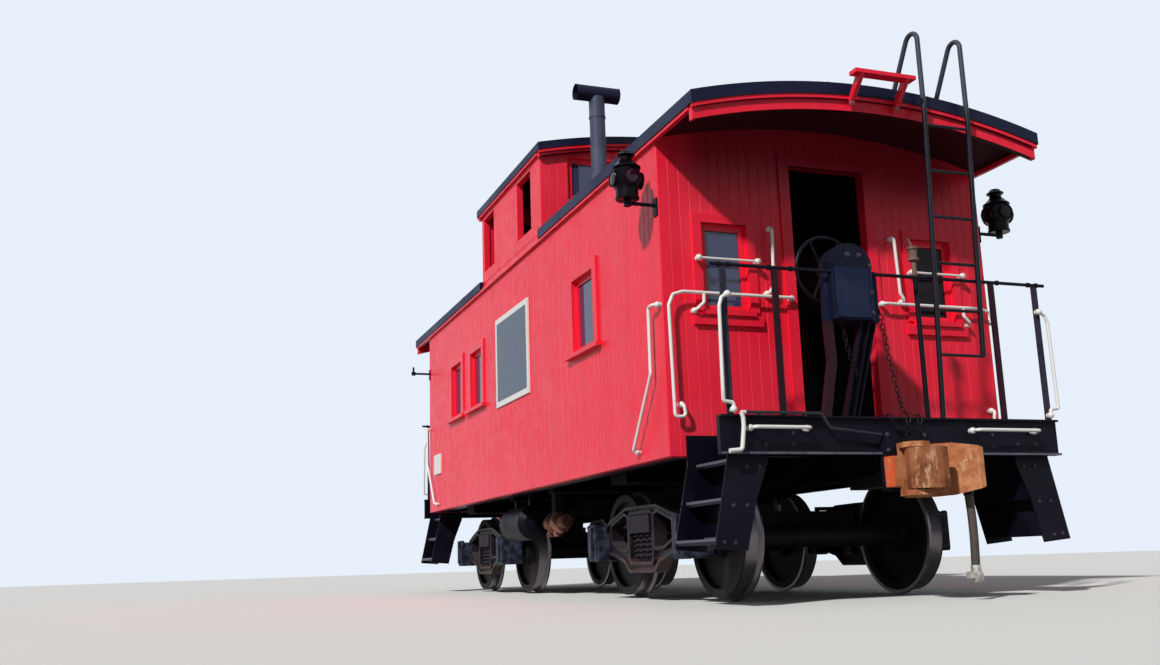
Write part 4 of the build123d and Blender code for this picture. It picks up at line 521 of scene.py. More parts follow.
def paint_railings():
    """Bluish outer posts, purple-brown inner ones, and a black top bar."""
    web, colour = start_iron("railing_paint")
    post = web.blend(web.above(web.size(web.y), OUTER_POST_Y), POST_PURPLE, POST_BLUE)
    post = web.blend(web.span(web.noise(9.0, 4.0), 0.4, 0.7, 0.0, 0.5), post, colour)
    finish_iron(web, web.blend(web.below(web.z, POST_TOP), colour, post))


HOUSING_NAVY, HOUSING_WORN = (0.009, 0.015, 0.046), (0.019, 0.027, 0.066)
HOUSING_FOOT, HOUSING_SHOULDER, DOME_NAVY = 1.826, 2.185, (0.006, 0.007, 0.018)
STRAP_PURPLE, STRAP_Y = (0.026, 0.009, 0.014), -0.405


def paint_brake():
    """A navy housing with a darker dome, a purple-brown strap on its left and a black channel leg."""
    web, colour = start_iron("brake_paint")
    housing = web.blend(web.span(web.noise(5.0, 4.0), 0.35, 0.7), HOUSING_NAVY, HOUSING_WORN)
    front = web.times(web.above(web.size(web.facing[0]), 0.8), web.below(web.z, HOUSING_SHOULDER))
    high = web.above(web.z, HOUSING_FOOT)
    colour = web.blend(high, colour, web.blend(front, DOME_NAVY, housing))
    strap = web.times(web.below(web.seen_y(), STRAP_Y), web.minus(1.0, high))
    finish_iron(web, web.blend(strap, colour, STRAP_PURPLE))


GRIP_WHITE, GRIP_Y = (0.78, 0.78, 0.76), 1.165


def paint_levers():
    """Black rods with white hand grips."""
    web, colour = start_iron("lever_paint")
    finish_iron(web, web.blend(web.above(web.size(web.y), GRIP_Y), colour, GRIP_WHITE), 0.4)


LADDER_SKY_REFLECTION, LADDER_SKY_REFLECTION_PALE, LADDER_EAVE = (0.030, 0.036, 0.050), (0.062, 0.072, 0.092), (3.30, 3.50)


def paint_ladders():
    """Black below, with a painted reflection of the sky in slate above the roof's edge."""
    web, colour = start_iron("ladder_paint")
    slate = web.blend(web.noise(7.0, 4.0), LADDER_SKY_REFLECTION, LADDER_SKY_REFLECTION_PALE)
    finish_iron(web, web.blend(web.span(web.z, *LADDER_EAVE), colour, slate), 0.2)


LIP_HIGHLIGHT, LIP_X, LIP_Z = (0.135, 0.130, 0.165), 4.261, 0.944
LIP_REACH_X, LIP_REACH_Z = 0.0075, 0.008


def paint_sills():
    """Black, with a painted highlight along the lip of the bottom flange."""
    web, colour = start_iron("sill_paint")
    lip = web.below(web.off(web.size(web.x), LIP_X), LIP_REACH_X)
    low = web.below(web.off(web.z, LIP_Z), LIP_REACH_Z)
    lit_lip = web.times(lip, low, web.span(web.noise(9.0, 4.0), 0.3, 0.6, 0.5, 1.0))
    finish_iron(web, web.blend(lit_lip, colour, LIP_HIGHLIGHT))


TREAD_GREY, TREAD_PITCH, TREAD_FOOT = (0.115, 0.108, 0.138), 0.25, 0.175
TREAD_X, TREAD_REACH, TREAD_BAND = 3.900, 0.285, 0.065


def paint_steps():
    """Black, with the outward front edges of the treads lighter grey."""
    web, colour = start_iron("step_paint")
    risers = web.math("DIVIDE", web.minus(web.z, TREAD_FOOT), TREAD_PITCH)
    at_tread = web.below(web.math("PINGPONG", risers, 0.5), TREAD_BAND)
    between_plates = web.below(web.off(web.size(web.x), TREAD_X), TREAD_REACH)
    edge = web.times(at_tread, between_plates, web.above(web.outward(1), 0.7))
    finish_iron(web, web.blend(edge, colour, TREAD_GREY))


paint_railings()
paint_brake()
paint_levers()
paint_ladders()
paint_sills()
paint_steps()
print("paints so far", len(PAINTS))

# %% [markdown]
# ## Side frames and pipes
#
# A truck's side frame is one casting, but its journal boxes are a bluish slate and the plank under its
# springs is rusty. The distance along the car from the truck's middle tells them apart, and serves all
# four frames, because they stand symmetrically. The pipes are black up to a brown fitting.

# %% Side frames and pipes
TRUCK_X, HALF_WHEELBASE = 2.273, 0.854
FRAME_BROWN, FRAME_DUST = (0.011, 0.007, 0.010), (0.070, 0.058, 0.066)
JOURNAL_SLATE, JOURNAL_PALE, JOURNAL_REACH = (0.010, 0.011, 0.020), (0.044, 0.050, 0.082), 0.135
PLANK_BROWN, PLANK_RUST = (0.014, 0.007, 0.007), (0.078, 0.044, 0.038)
PLANK_TOP, PLANK_REACH = 0.330, 0.420


def from_truck(web):
    """How far a place is from the middle of its truck, along the car."""
    return web.off(web.size(web.x), TRUCK_X)


def paint_side_frames():
    """Grey-brown arches, bluish journal boxes and a rusty spring plank."""
    web, colour = start_iron("side_frame_paint", FRAME_BROWN, FRAME_DUST, 0.30, 0.36, ledge=0.7)
    from_middle = from_truck(web)
    journal = web.below(web.off(from_middle, HALF_WHEELBASE), JOURNAL_REACH)
    slate = web.blend(web.span(web.noise(14.0, 5.0), 0.40, 0.64), JOURNAL_SLATE, JOURNAL_PALE)
    colour = web.blend(journal, colour, slate)
    plank = web.times(web.below(web.z, PLANK_TOP), web.below(from_middle, PLANK_REACH))
    brown = web.blend(web.noise(17.0, 5.0), PLANK_BROWN, PLANK_RUST)
    finish_iron(web, web.blend(plank, colour, brown), 0.16)


PIPE_RUST, PIPE_PALE, FITTING_Z = (0.060, 0.028, 0.022), (0.330, 0.210, 0.170), (2.16, 2.22)


def paint_pipes():
    """Black pipe, with a brown fitting at the top of the platform's stand-pipe."""
    web, colour = start_iron("pipe_grey")
    rusted = web.blend(web.noise(24.0, 5.0), PIPE_RUST, PIPE_PALE)
    finish_iron(web, web.blend(web.span(web.z, *FITTING_Z), colour, rusted))


paint_side_frames()
paint_pipes()
print("paints so far", len(PAINTS))

# %% [markdown]
# ## Roof covering
#
# The roofs are canvas laid in black mastic. From below only their thick edge shows, a blue-black band
# with a soft sheen, painted lighter and bluer on the sides as painted light and blacker on the ends as
# painted shade. Their underside is painted almost black, with a touch of red, as painted shade.

# %% Roof black
ROOF_SHADES = ((0.008, 0.010, 0.028), (0.015, 0.018, 0.046))
ROOF_SIDE_LIT, ROOF_END_SHADE = (0.010, 0.014, 0.052), (0.004, 0.006, 0.026)
SOFFIT_SHADE = (0.022, 0.0012, 0.004)


def paint_roof():
    web = Web("roof_black")
    patches = web.noise(1.1, 5.0)
    weave = web.noise(420.0, 1.0)
    colour = web.blend(web.span(patches, 0.35, 0.75), *ROOF_SHADES)
    # Painted light on the edges that face the sides, painted shade on those that face the ends
    colour = web.blend(web.span(web.size(web.facing[1]), 0.5, 0.9), colour, ROOF_SIDE_LIT)
    colour = web.blend(web.span(web.size(web.facing[0]), 0.5, 0.9), colour, ROOF_END_SHADE)
    # Painted shade: the down-facing underside is nearly black with a touch of red
    web.finish(
        Base_Color=web.blend(web.span(web.facing[2], -0.2, -0.6), colour, SOFFIT_SHADE),
        Roughness=web.span(patches, 0.3, 0.8, 0.42, 0.62),
        Normal=web.bump(web.plus(web.times(weave, 0.2), web.noise(9.0, 4.0)), 0.0015, 0.35),
        Specular_IOR_Level=0.16,
    )


paint_roof()
print("paints so far", len(PAINTS))

# %% [markdown]
# ## White handrails
#
# Every grab iron that a trainman may reach for is white enamel, so that it shows at night. It is
# brushed on thickly and has a few grey rub marks.

# %% White enamel
ENAMEL, ENAMEL_RUBBED = (0.80, 0.80, 0.79), (0.45, 0.44, 0.43)


def paint_white():
    web = Web("white_enamel")
    rubs = web.span(web.noise(11.0, 5.0, roughness=0.6), 0.60, 0.74, 0.0, 0.55)
    web.finish(
        Base_Color=web.blend(rubs, ENAMEL, ENAMEL_RUBBED),
        Roughness=0.3,
        Normal=web.bump(web.noise(45.0, 3.0), 0.0005, 0.4),
        Coat_Weight=0.15,
        Coat_Roughness=0.15,
    )


paint_white()
print("paints so far", len(PAINTS))

# %% [markdown]
# ## Deck planks, glass and boards
#
# The platform floor is black painted plank. The window glass is thin and old, so it mirrors the sky
# and lets a little of the dark cabin through; the end windows on one side are painted dark with little
# shine, as painted shade.
# The two boards on each side are sheet metal: the large one slate blue inside a white border, the
# small one plain white. All are left bare.

# %% Deck planks, glass and boards
PLANK_WIDTH = 0.12
PLANK_DARK, PLANK_WORN = (0.008, 0.008, 0.010), (0.040, 0.037, 0.038)
GLASS_SHADE, UNLIT_X, UNLIT_Y = (0.006, 0.003, 0.004), 3.5, (0.3, 0.5)
# The large board's middle along the side and up, and half its length and height
BOARD_X, BOARD_Z, BOARD_HALF_X, BOARD_HALF_Z = 0.0705, 2.327, 0.5455, 0.455
BOARD_BLUE, BOARD_PALE = (0.036, 0.060, 0.100), (0.060, 0.092, 0.140)
BOARD_WHITE, BOARD_WORN = (0.76, 0.76, 0.75), (0.50, 0.49, 0.47)
BORDER_EDGE = (0.052, 0.056)


def paint_deck():
    web = Web("deck_planks")
    seam = web.span(web.math("PINGPONG", web.math("DIVIDE", web.y, PLANK_WIDTH), 0.5), 0.0, 0.04)
    grain = web.noise(5.0, 6.0, web.stretched(0.5, 12.0, 12.0))
    colour = web.blend(grain, PLANK_DARK, PLANK_WORN)
    height = web.plus(seam, web.times(grain, 0.35))
    web.finish(Base_Color=colour, Roughness=0.62, Normal=web.bump(height, 0.003, 0.8))


def make_glass(name, tint, through, ripple, shine):
    """Old glass: its tint, the light that it lets through, its ripple and its shine."""
    web = Web(name)
    streaks = web.noise(2.0, 3.0, web.stretched(2.0, 2.0, 0.5))
    colour = web.blend(streaks, tint, tuple(1.7 * share for share in tint))
    # Painted shade, with little shine, on the end windows of one side
    unlit = web.times(web.above(web.size(web.x), UNLIT_X), web.span(web.seen_y(), *UNLIT_Y))
    web.finish(
        Base_Color=darken_inside(web, web.blend(unlit, colour, GLASS_SHADE)),
        Roughness=0.04,
        IOR=1.5,
        Transmission_Weight=through,
        Normal=web.bump(web.noise(3.0, 2.0), 0.002, ripple),
        Specular_IOR_Level=web.span(unlit, 0.0, 1.0, shine, 0.12),
    )


def paint_sign():
    """Slate blue inside a white border on the large boards, and plain white on the small ones."""
    web = Web("board_slate")
    along = web.times(web.x, web.math("SIGN", web.y), -1.0)
    from_side = web.minus(BOARD_HALF_X, web.off(along, BOARD_X))
    from_top = web.minus(BOARD_HALF_Z, web.off(web.z, BOARD_Z))
    border = web.span(web.math("MINIMUM", from_side, from_top), *BORDER_EDGE, 1.0, 0.0)
    wear = web.span(web.noise(16.0, 6.0, roughness=0.62), 0.62, 0.74, 0.0, 0.5)
    slate = web.blend(web.noise(2.5, 4.0), BOARD_BLUE, BOARD_PALE)
    colour = web.blend(border, slate, web.blend(wear, BOARD_WHITE, BOARD_WORN))
    height = web.plus(border, web.times(web.noise(30.0, 3.0), 0.3))
    web.finish(Base_Color=colour, Roughness=0.38, Normal=web.bump(height, 0.0008, 0.5))


paint_deck()
make_glass("window_glass", (0.030, 0.038, 0.090), through=0.08, ripple=0.12, shine=0.6)
make_glass("lens_glass", (0.024, 0.002, 0.014), through=0.15, ripple=0.5, shine=0.25)
paint_sign()
print("paints so far", len(PAINTS))

# %% [markdown]
# ## Rust, rubber and bare metal
#
# The couplers are unpainted castings, orange with rust and pitted, and their knuckles are browner.
# The valve under the floor is paler rust. The valve's top and the couplers' shanks behind the strikers
# are painted black, as painted shade. The wheels are dark, with a brighter ring where the rail polishes
# the tread. The distance from the nearest axle tells the tread from the wheel's plate: the axles stand
# symmetrically, so folding X about the middle of the car and then about the truck's middle brings all
# four to one place.

# %% Rusty casting, wheel steel, hose and couplings
# Shades of rust: dark, middle, and pale flakes
COUPLER_RUST = ((0.37, 0.105, 0.040), (0.58, 0.250, 0.115), (0.62, 0.38, 0.21))
KNUCKLE_RUST = ((0.16, 0.042, 0.020), (0.36, 0.130, 0.055), (0.60, 0.37, 0.22))
VALVE_RUST = ((0.10, 0.035, 0.026), (0.30, 0.150, 0.110), (0.42, 0.27, 0.20))
PIT_RUST = (0.15, 0.045, 0.018)
EDGE_ORANGE, ORANGE_Y = (0.74, 0.085, 0.022), (0.250, 0.268)
SHADE_BLACK, STRIKER_X, VALVE_TOP = (0.010, 0.007, 0.008), (4.335, 4.315), 0.76
AXLE_Z, TREAD_RADIUS, TREAD_OUTER_Y = 0.447, 0.417, 0.800
# How far the polished ring fades into the wheel's plate and round its outer edge
PLATE_FADE, EDGE_FADE = 0.005, 0.018
WHEEL_SHADES, TREAD_STEEL = ((0.004, 0.003, 0.005), (0.016, 0.012, 0.015)), (0.21, 0.190, 0.205)
RUBBER_SHADES = ((0.030, 0.022, 0.018), (0.085, 0.062, 0.050))
COUPLING_SHADES = ((0.62, 0.60, 0.56), (0.30, 0.28, 0.25))


def paint_rust(name, shades, on_coupler=False, shade_above=None):
    """Rust with dark pits, and painted shade in black high up and behind the striker. The coupler's left
    edge was once painted orange.
    """
    web = Web(name)
    big = web.noise(6.0, 6.0, roughness=0.6)
    small = web.noise(38.0, 6.0, roughness=0.65)
    colour = web.blend(web.span(big, 0.36, 0.66), shades[0], shades[1])
    colour = web.blend(web.span(small, 0.50, 0.70, 0.0, 0.6), colour, PIT_RUST)
    flakes = web.noise(9.0, 6.0, web.stretched(1.6, 1.6, 0.6), roughness=0.72)
    colour = web.blend(web.span(flakes, 0.54, 0.64, 0.0, 0.85), colour, shades[2])
    # Painted shade in black above a given height
    if shade_above:
        colour = web.blend(web.span(web.z, shade_above, shade_above + 0.04), colour, SHADE_BLACK)
    if on_coupler:
        edge = web.span(web.times(web.seen_y(), -1.0), *ORANGE_Y)
        colour = web.blend(web.times(edge, web.span(small, 0.62, 0.40, 0.3, 1.0)), colour, EDGE_ORANGE)
        # Painted shade in black on the shank behind the striker
        colour = web.blend(web.span(web.size(web.x), *STRIKER_X), colour, SHADE_BLACK)
    bump = web.bump(web.plus(web.times(small, 0.6), big), 0.006, 0.8)
    web.finish(Base_Color=colour, Roughness=0.85, Normal=bump, Specular_IOR_Level=0.2)


def paint_wheels():
    web = Web("wheel_steel")
    across = web.minus(from_truck(web), HALF_WHEELBASE)
    rise = web.minus(web.z, AXLE_Z)
    radius = web.math("SQRT", web.plus(web.times(across, across), web.times(rise, rise)))
    outside = web.span(web.size(web.y), TREAD_OUTER_Y + EDGE_FADE, TREAD_OUTER_Y)
    on_tread = web.times(web.span(radius, TREAD_RADIUS - PLATE_FADE, TREAD_RADIUS), outside)
    web.finish(
        Base_Color=web.blend(on_tread, web.blend(web.noise(7.0, 6.0), *WHEEL_SHADES), TREAD_STEEL),
        Roughness=web.span(on_tread, 0.0, 1.0, 0.6, 0.34),
        Metallic=web.times(on_tread, 0.7),
        Normal=web.bump(web.noise(26.0, 5.0), 0.0015, 0.5),
        Specular_IOR_Level=0.14,
    )


def make_rubber():
    web = Web("hose_rubber")
    ribs = web.math("SINE", web.times(web.z, 900.0))
    dust = web.noise(20.0, 5.0)
    bump = web.bump(web.plus(web.times(ribs, 0.3), dust), 0.0008, 0.5)
    web.finish(Base_Color=web.blend(dust, *RUBBER_SHADES), Roughness=0.7, Normal=bump)


def cast_couplings():
    web = Web("coupling_metal")
    patches = web.noise(30.0, 5.0)
    colour = web.blend(web.span(patches, 0.3, 0.75), *COUPLING_SHADES)
    web.finish(Base_Color=colour, Roughness=0.45, Metallic=0.6, Normal=web.bump(patches, 0.001, 0.5))


paint_rust("rusty_casting", COUPLER_RUST, on_coupler=True)
paint_rust("knuckle_rust", KNUCKLE_RUST)
paint_rust("valve_rust", VALVE_RUST, shade_above=VALVE_TOP)
paint_wheels()
make_rubber()
cast_couplings()
print("paints", len(PAINTS))

# %% [markdown]
# ## Finishes go on their pieces
#
# The record names one finish for each piece of the construction, and the paints above have the same
# names, so the record itself drives the painting. A few pieces have a paint of their own.

# %% Paint the construction
OWN_PAINT = {
    "railing_paint": ["end_railings"],
    "sill_paint": ["end_sills"],
    "step_paint": ["steps"],
    "underframe_shaded_black": ["cross_bearers", "body_bolsters", "centre_sills"],
    "side_frame_paint": ["side_frames_near", "side_frames_far"],
    "brake_paint": ["brake_stands"],
    "lever_paint": ["uncoupling_levers"],
    "ladder_paint": ["ladders"],
    "red_door": ["door_near", "door_far"],
    "knuckle_rust": ["knuckle_near", "knuckle_far"],
    "valve_rust": ["brake_valve"],
}


def paint(piece, name):
    piece.data.materials.clear()
    piece.data.materials.append(PAINTS[name])


for part in frame["record"]["subparts"]:
    paint(frame["nodes"][part["node"]], part["material_slot"])
for name, nodes in OWN_PAINT.items():
    for node in nodes:
        paint(frame["nodes"][node], name)
for hose in hoses:
    paint(hose, "hose_rubber")
print("painted", len(frame["nodes"]), "nodes")

# %% [markdown]
# ## Modelling by hand, in code
#
# The pieces that follow are modelled as they would be by hand: a simple form is added, opened for
# editing, and cut, extruded and resized into shape. A helper adds the form and opens it, another
# selects faces or points by a test of where they are and which way they face. What repeats, such as
# a bolt head, is modelled once at the origin. Its copies have their own meshes, and those of one
# group are joined into one piece.

# %% Helpers for modelling
HALF_TURN = Matrix.Rotation(math.pi, 4, "Z")


def begin(name, add, **options):
    """Adds a simple form on its own and opens it for editing."""
    deselect_all()
    add(**options)
    piece = bpy.context.object
    piece.name = name
    bpy.ops.object.transform_apply(location=True, rotation=True, scale=True)
    bpy.ops.object.mode_set(mode="EDIT")
    return piece


def pick(test, kind="FACE"):
    """Selects the faces or points of the open mesh whose middle and normal pass a test."""
    bpy.ops.mesh.select_mode(type=kind)
    bpy.ops.mesh.select_all(action="DESELECT")
    mesh = bmesh.from_edit_mesh(bpy.context.edit_object.data)
    if kind == "FACE":
        chosen = [face for face in mesh.faces if test(face.calc_center_median(), face.normal)]
    else:
        chosen = [point for point in mesh.verts if test(point.co, point.normal)]
    for item in chosen:
        item.select_set(True)
    mesh.select_flush_mode()
    bmesh.update_edit_mesh(bpy.context.edit_object.data)


def extrude(step):
    bpy.ops.mesh.extrude_region_move(TRANSFORM_OT_translate={"value": step})


def close(piece, smooth_below=None):
    """Ends the editing with every face outwards."""
    bpy.ops.mesh.select_all(action="SELECT")
    bpy.ops.mesh.normals_make_consistent(inside=False)
    bpy.ops.object.mode_set(mode="OBJECT")
    if smooth_below:
        bpy.ops.object.shade_smooth_by_angle(angle=math.radians(smooth_below))
    return piece


def turned(name, sides, profile):
    """A round piece about Z: a disc whose top is extruded and resized ring by ring. Profile: radius, z."""
    radius, z = profile[0]
    disc = {"vertices": sides, "radius": radius, "fill_type": "NGON", "location": (0, 0, z)}
    piece = begin(name, bpy.ops.mesh.primitive_circle_add, **disc)
    bpy.ops.mesh.select_all(action="SELECT")
    for next_radius, next_z in profile[1:]:
        extrude((0, 0, next_z - z))
        share = next_radius / radius
        bpy.ops.transform.resize(value=(share, share, 1), center_override=(0, 0, next_z))
        radius, z = next_radius, next_z
    return close(piece, 35)


def stood(at, out=(0, 0, 1), spin=0.0):
    """A place for a model: its foot at a point, its Z along a direction."""
    turn = Vector(out).to_track_quat("Z", "Y").to_matrix().to_4x4()
    return Matrix.Translation(Vector(at)) @ turn @ Matrix.Rotation(spin, 4, "Z")


def both_ends(places):
    """The places, and the same ones turned half way round the car."""
    return list(places) + [HALF_TURN @ place for place in places]


def copies(model, name, places, body="root", material_slot="black_iron", own_paint=None):
    """Copies of a model at places, joined into one piece that rides on a body."""
    deselect_all()
    for place in places:
        piece = model.copy()
        piece.data = model.data.copy()
        piece.data.transform(place)
        bpy.context.scene.collection.objects.link(piece)
        piece.select_set(True)
        if place is places[0]:
            bpy.context.view_layer.objects.active = piece
    if len(places) > 1:
        bpy.ops.object.join()
    piece = bpy.context.object
    piece.name = name
    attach(piece, body)
    paint(piece, own_paint or material_slot)
    print(name, "copies", len(places), "faces", len(piece.data.polygons))
    return piece


def discard(*models):
    """Takes away models once their copies are made."""
    for model in models:
        bpy.data.objects.remove(model)


# %% [markdown]
# ## Sheathing boards
#
# The walls of the real car are narrow tongued and grooved boards with a small V at every joint. In
# low sun each V shows as a bright line beside a dark one. A bump could fake that from afar, but real
# grooves hold up close to the camera. Each wall is a flat grid with one column to a board. Bisect cuts
# the arch and the window and door holes, and one inset that treats each face by itself raises every
# board 4 mm with sloped edges, so that the slopes of two neighbours make the V.

# %% One wall of boards
HOLE_MARGIN = 0.05


def cut_hole(low, high, low_z, high_z):
    """Cuts a window out of the open sheet of boards."""
    low_x, high_x = low - HOLE_MARGIN, high + HOLE_MARGIN
    for level in (low_z, high_z):
        pick(lambda at, out: low_x < at.x < high_x)
        bpy.ops.mesh.bisect(plane_co=(0, level, 0), plane_no=(0, 1, 0))
    for edge in (low, high):
        pick(lambda at, out: low_x < at.x < high_x and low_z < at.y < high_z)
        bpy.ops.mesh.bisect(plane_co=(edge, 0, 0), plane_no=(1, 0, 0))
    pick(lambda at, out: low < at.x < high and low_z < at.y < high_z)
    bpy.ops.mesh.delete(type="FACE")


ARCH_STEPS = 10


def cut_arch(half, radius, axis):
    """Cuts the top of the open sheet to an arch."""
    for i in range(ARCH_STEPS):
        angle = math.asin(half / radius) * (2 * (i + 0.5) / ARCH_STEPS - 1)
        normal = (math.sin(angle), math.cos(angle), 0)
        touch = (radius * math.sin(angle), axis + radius * math.cos(angle), 0)
        bpy.ops.mesh.select_all(action="SELECT")
        bpy.ops.mesh.bisect(plane_co=touch, plane_no=normal, clear_outer=True)


SLIVER = 0.014


def drop_slivers():
    """Deletes the faces that are too narrow to raise."""
    bpy.ops.mesh.select_mode(type="FACE")
    bpy.ops.mesh.select_all(action="DESELECT")
    mesh = bmesh.from_edit_mesh(bpy.context.edit_object.data)
    for face in mesh.faces:
        spread = [max(p.co[i] for p in face.verts) - min(p.co[i] for p in face.verts) for i in (0, 1)]
        if min(spread) < SLIVER:
            face.select_set(True)
    bmesh.update_edit_mesh(bpy.context.edit_object.data)
    bpy.ops.mesh.delete(type="FACE")


WALL_GAP = 0.0005


def wall_place(out, distance):
    """A flat drawing stood up against a wall that faces a direction."""
    out = Vector(out)
    along = Vector((0, 0, 1)).cross(out)
    turn = Matrix((along, (0, 0, 1), out)).transposed().to_4x4()
    return Matrix.Translation(out * (distance + WALL_GAP)) @ turn


V_DEPTH = 0.004
SKIN = 0.002


def sheathe(name, low, high, boards, foot, top, holes, out, distance, arch=None):
    """One wall of boards, drawn flat with X along the wall and Y up, then stood in its place."""
    grid = {"x_subdivisions": boards, "y_subdivisions": 1, "size": 1, "location": (0, 0, 0)}
    piece = begin(name, bpy.ops.mesh.primitive_grid_add, **grid)
    bpy.ops.mesh.select_all(action="SELECT")
    bpy.ops.transform.resize(value=(high - low, top - foot, 1), center_override=(0, 0, 0))
    bpy.ops.transform.translate(value=((low + high) / 2, (foot + top) / 2, 0))
    if arch:
        cut_arch(high, *arch)
    for hole in holes:
        cut_hole(*hole)
    drop_slivers()
    bpy.ops.mesh.select_all(action="SELECT")
    bpy.ops.mesh.normals_make_consistent(inside=False)
    mesh = bmesh.from_edit_mesh(piece.data)
    mesh.faces.ensure_lookup_table()
    if mesh.faces[0].normal.z < 0:
        bpy.ops.mesh.flip_normals()
    bpy.ops.mesh.inset(thickness=V_DEPTH, depth=V_DEPTH, use_individual=True, use_even_offset=True)
    bpy.ops.object.mode_set(mode="OBJECT")
    skin = piece.modifiers.new("skin", "SOLIDIFY")
    skin.thickness = SKIN
    skin.offset = -1
    bpy.ops.object.modifier_apply(modifier="skin")
    piece.data.transform(wall_place(out, distance))
    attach(piece, "root")
    paint(piece, "red_boards")
    print(name, "boards", boards, "faces", len(piece.data.polygons))

# %% [markdown]
# ## The walls
#
# The sizes of the walls come from the construction, and the holes are those of its windows and doors.
# The far end is the near one turned half way round, and the right side is the left one turned the same
# way, so one row serves both, as seen from outside. The cupola stands a little off the middle of the
# car, so its right side is the mirror image of its left.

# %% Boards on the cabin and the cupola
WALL_X, WALL_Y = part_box("end_walls")[1][0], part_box("side_walls")[1][1]
WALL_FOOT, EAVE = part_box("side_walls")[0][2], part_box("side_walls")[1][2]
CUPOLA_LOW_X, CUPOLA_HIGH_X = (corner[0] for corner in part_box("cupola_walls"))
# Each roof's arch: its radius and the height of its axis
MAIN_ARCH, CUPOLA_ARCH = (5.1827, -1.7527), (6.015, -1.771)
CUPOLA_BOARDS = 25
# Top of the end boards before the arch cuts them, and lowest and highest z of the cupola's boards
END_TOP, CUPOLA_END_Z, CUPOLA_SIDE_Z = 3.44, (3.25, 4.25), (3.30, 4.14)
# Holes along a wall and up: low, high, low z, high z
SIDE_HOLES = [(1.850, 2.330, 2.000, 2.620), (-1.505, -1.045, 2.000, 2.620), (-2.380, -1.920, 2.000, 2.620)]
END_HOLES = [(-1.065, -0.700, 2.000, 2.640), (0.700, 1.065, 2.000, 2.640), (-0.320, 0.320, 1.184, 3.131)]
CUPOLA_HOLES = [(-0.910, -0.520, 3.420, 4.000), (0.312, 0.752, 3.420, 4.000)]
CUPOLA_END_HOLES = [(-1.105, -0.470, 3.640, 4.050), (0.470, 1.105, 3.640, 4.050)]
LEFT, RIGHT, NEAR, FAR = (0, -1, 0), (0, 1, 0), (1, 0, 0), (-1, 0, 0)


def mirrored(holes):
    """The holes as another wall's outside sees them."""
    return [(-high, -low, low_z, high_z) for low, high, low_z, high_z in holes]


side_wall = (-WALL_X, WALL_X, SIDE_BOARDS, WALL_FOOT, EAVE, SIDE_HOLES)
end_wall = (-WALL_Y, WALL_Y, END_BOARDS, WALL_FOOT, END_TOP, END_HOLES)
cupola_end = (-WALL_Y, WALL_Y, END_BOARDS, *CUPOLA_END_Z, CUPOLA_END_HOLES)
cupola_side = (CUPOLA_LOW_X, CUPOLA_HIGH_X, CUPOLA_BOARDS, *CUPOLA_SIDE_Z, CUPOLA_HOLES)
turned_side = (-CUPOLA_HIGH_X, -CUPOLA_LOW_X, CUPOLA_BOARDS, *CUPOLA_SIDE_Z, mirrored(CUPOLA_HOLES))
sheathe("side_boards_left", *side_wall, LEFT, WALL_Y)
sheathe("side_boards_right", *side_wall, RIGHT, WALL_Y)
for end_name, out, cupola_end_x in (("near", NEAR, CUPOLA_HIGH_X), ("far", FAR, -CUPOLA_LOW_X)):
    sheathe(f"end_boards_{end_name}", *end_wall, out, WALL_X, MAIN_ARCH)
    sheathe(f"cupola_end_boards_{end_name}", *cupola_end, out, cupola_end_x, CUPOLA_ARCH)
sheathe("cupola_side_boards_left", *cupola_side, LEFT, WALL_Y)
sheathe("cupola_side_boards_right", *turned_side, RIGHT, WALL_Y)

# %% [markdown]
# ## Ball feet of the handrails
#
# Each white handrail is bolted through the wall, and its foot is a cast ball on a small flange. The
# ball is a sphere cut flat below, with its foot extruded a little wider.

# %% Ball feet
BALL_RADIUS, BALL_MIDDLE = 0.023, 0.0265
BALL_CUT, FLANGE_STEP, FLANGE_SHARE = 0.008, 0.004, 1.35


def model_ball():
    sphere = {"segments": 18, "ring_count": 12, "radius": BALL_RADIUS, "location": (0, 0, BALL_MIDDLE)}
    ball = begin("ball", bpy.ops.mesh.primitive_uv_sphere_add, **sphere)
    bpy.ops.mesh.select_all(action="SELECT")
    bpy.ops.mesh.bisect(plane_co=(0, 0, BALL_CUT), plane_no=(0, 0, 1), clear_inner=True, use_fill=True)
    pick(lambda at, out: at.z < BALL_CUT + 0.0001)
    extrude((0, 0, -FLANGE_STEP))
    bpy.ops.transform.resize(value=(FLANGE_SHARE, FLANGE_SHARE, 1), center_override=(0, 0, FLANGE_STEP))
    extrude((0, 0, -FLANGE_STEP))
    return close(ball, 40)


ball = model_ball()
# Feet of one end's rails: where they stand, and which way they point
PAIRED_FEET = [
    ((3.587, -1.384, 2.030), LEFT),
    ((3.130, -1.384, 1.062), LEFT),
    ((3.611, -1.290, 1.332), NEAR),
    ((3.629, -0.385, 2.112), NEAR),
    ((3.611, -0.520, 2.625), NEAR),
    ((3.611, -0.572, 2.140), NEAR),
    ((3.611, -1.153, 1.990), NEAR),
    ((4.260, -1.240, 1.952), NEAR),
    ((4.260, -1.242, 1.212), NEAR),
]
SILL_FEET = [((4.237, y, 1.100), NEAR) for y in (-1.120, -0.714, 0.581, 1.104)]
feet = [stood(at, out) for at, out in PAIRED_FEET + SILL_FEET]
feet += [stood((x, -y, z), (out[0], -out[1], out[2])) for (x, y, z), out in PAIRED_FEET]
copies(ball, "rail_balls", both_ends(feet), material_slot="white_enamel")
bar_balls = [stood((3.650, side * y, 2.364), NEAR) for side in (-1, 1) for y in (1.118, 0.655)]
copies(ball, "window_bar_balls", both_ends(bar_balls), material_slot="white_enamel")
discard(ball)

# %% [markdown]
# ## Bolt heads
#
# Round washers with domed heads hold the step plates, the sill and the brake housing. They are only
# 40 mm wide, so a disc of twelve sides is enough, with its top inset and raised.

# %% Bolts on the sill, the step plates, the striker and the brake housing
WASHER_RADIUS, WASHER_THICKNESS, HEAD_INSET = 0.021, 0.005, 0.007
SHOULDER_Z, CROWN_Z = 0.014, 0.017


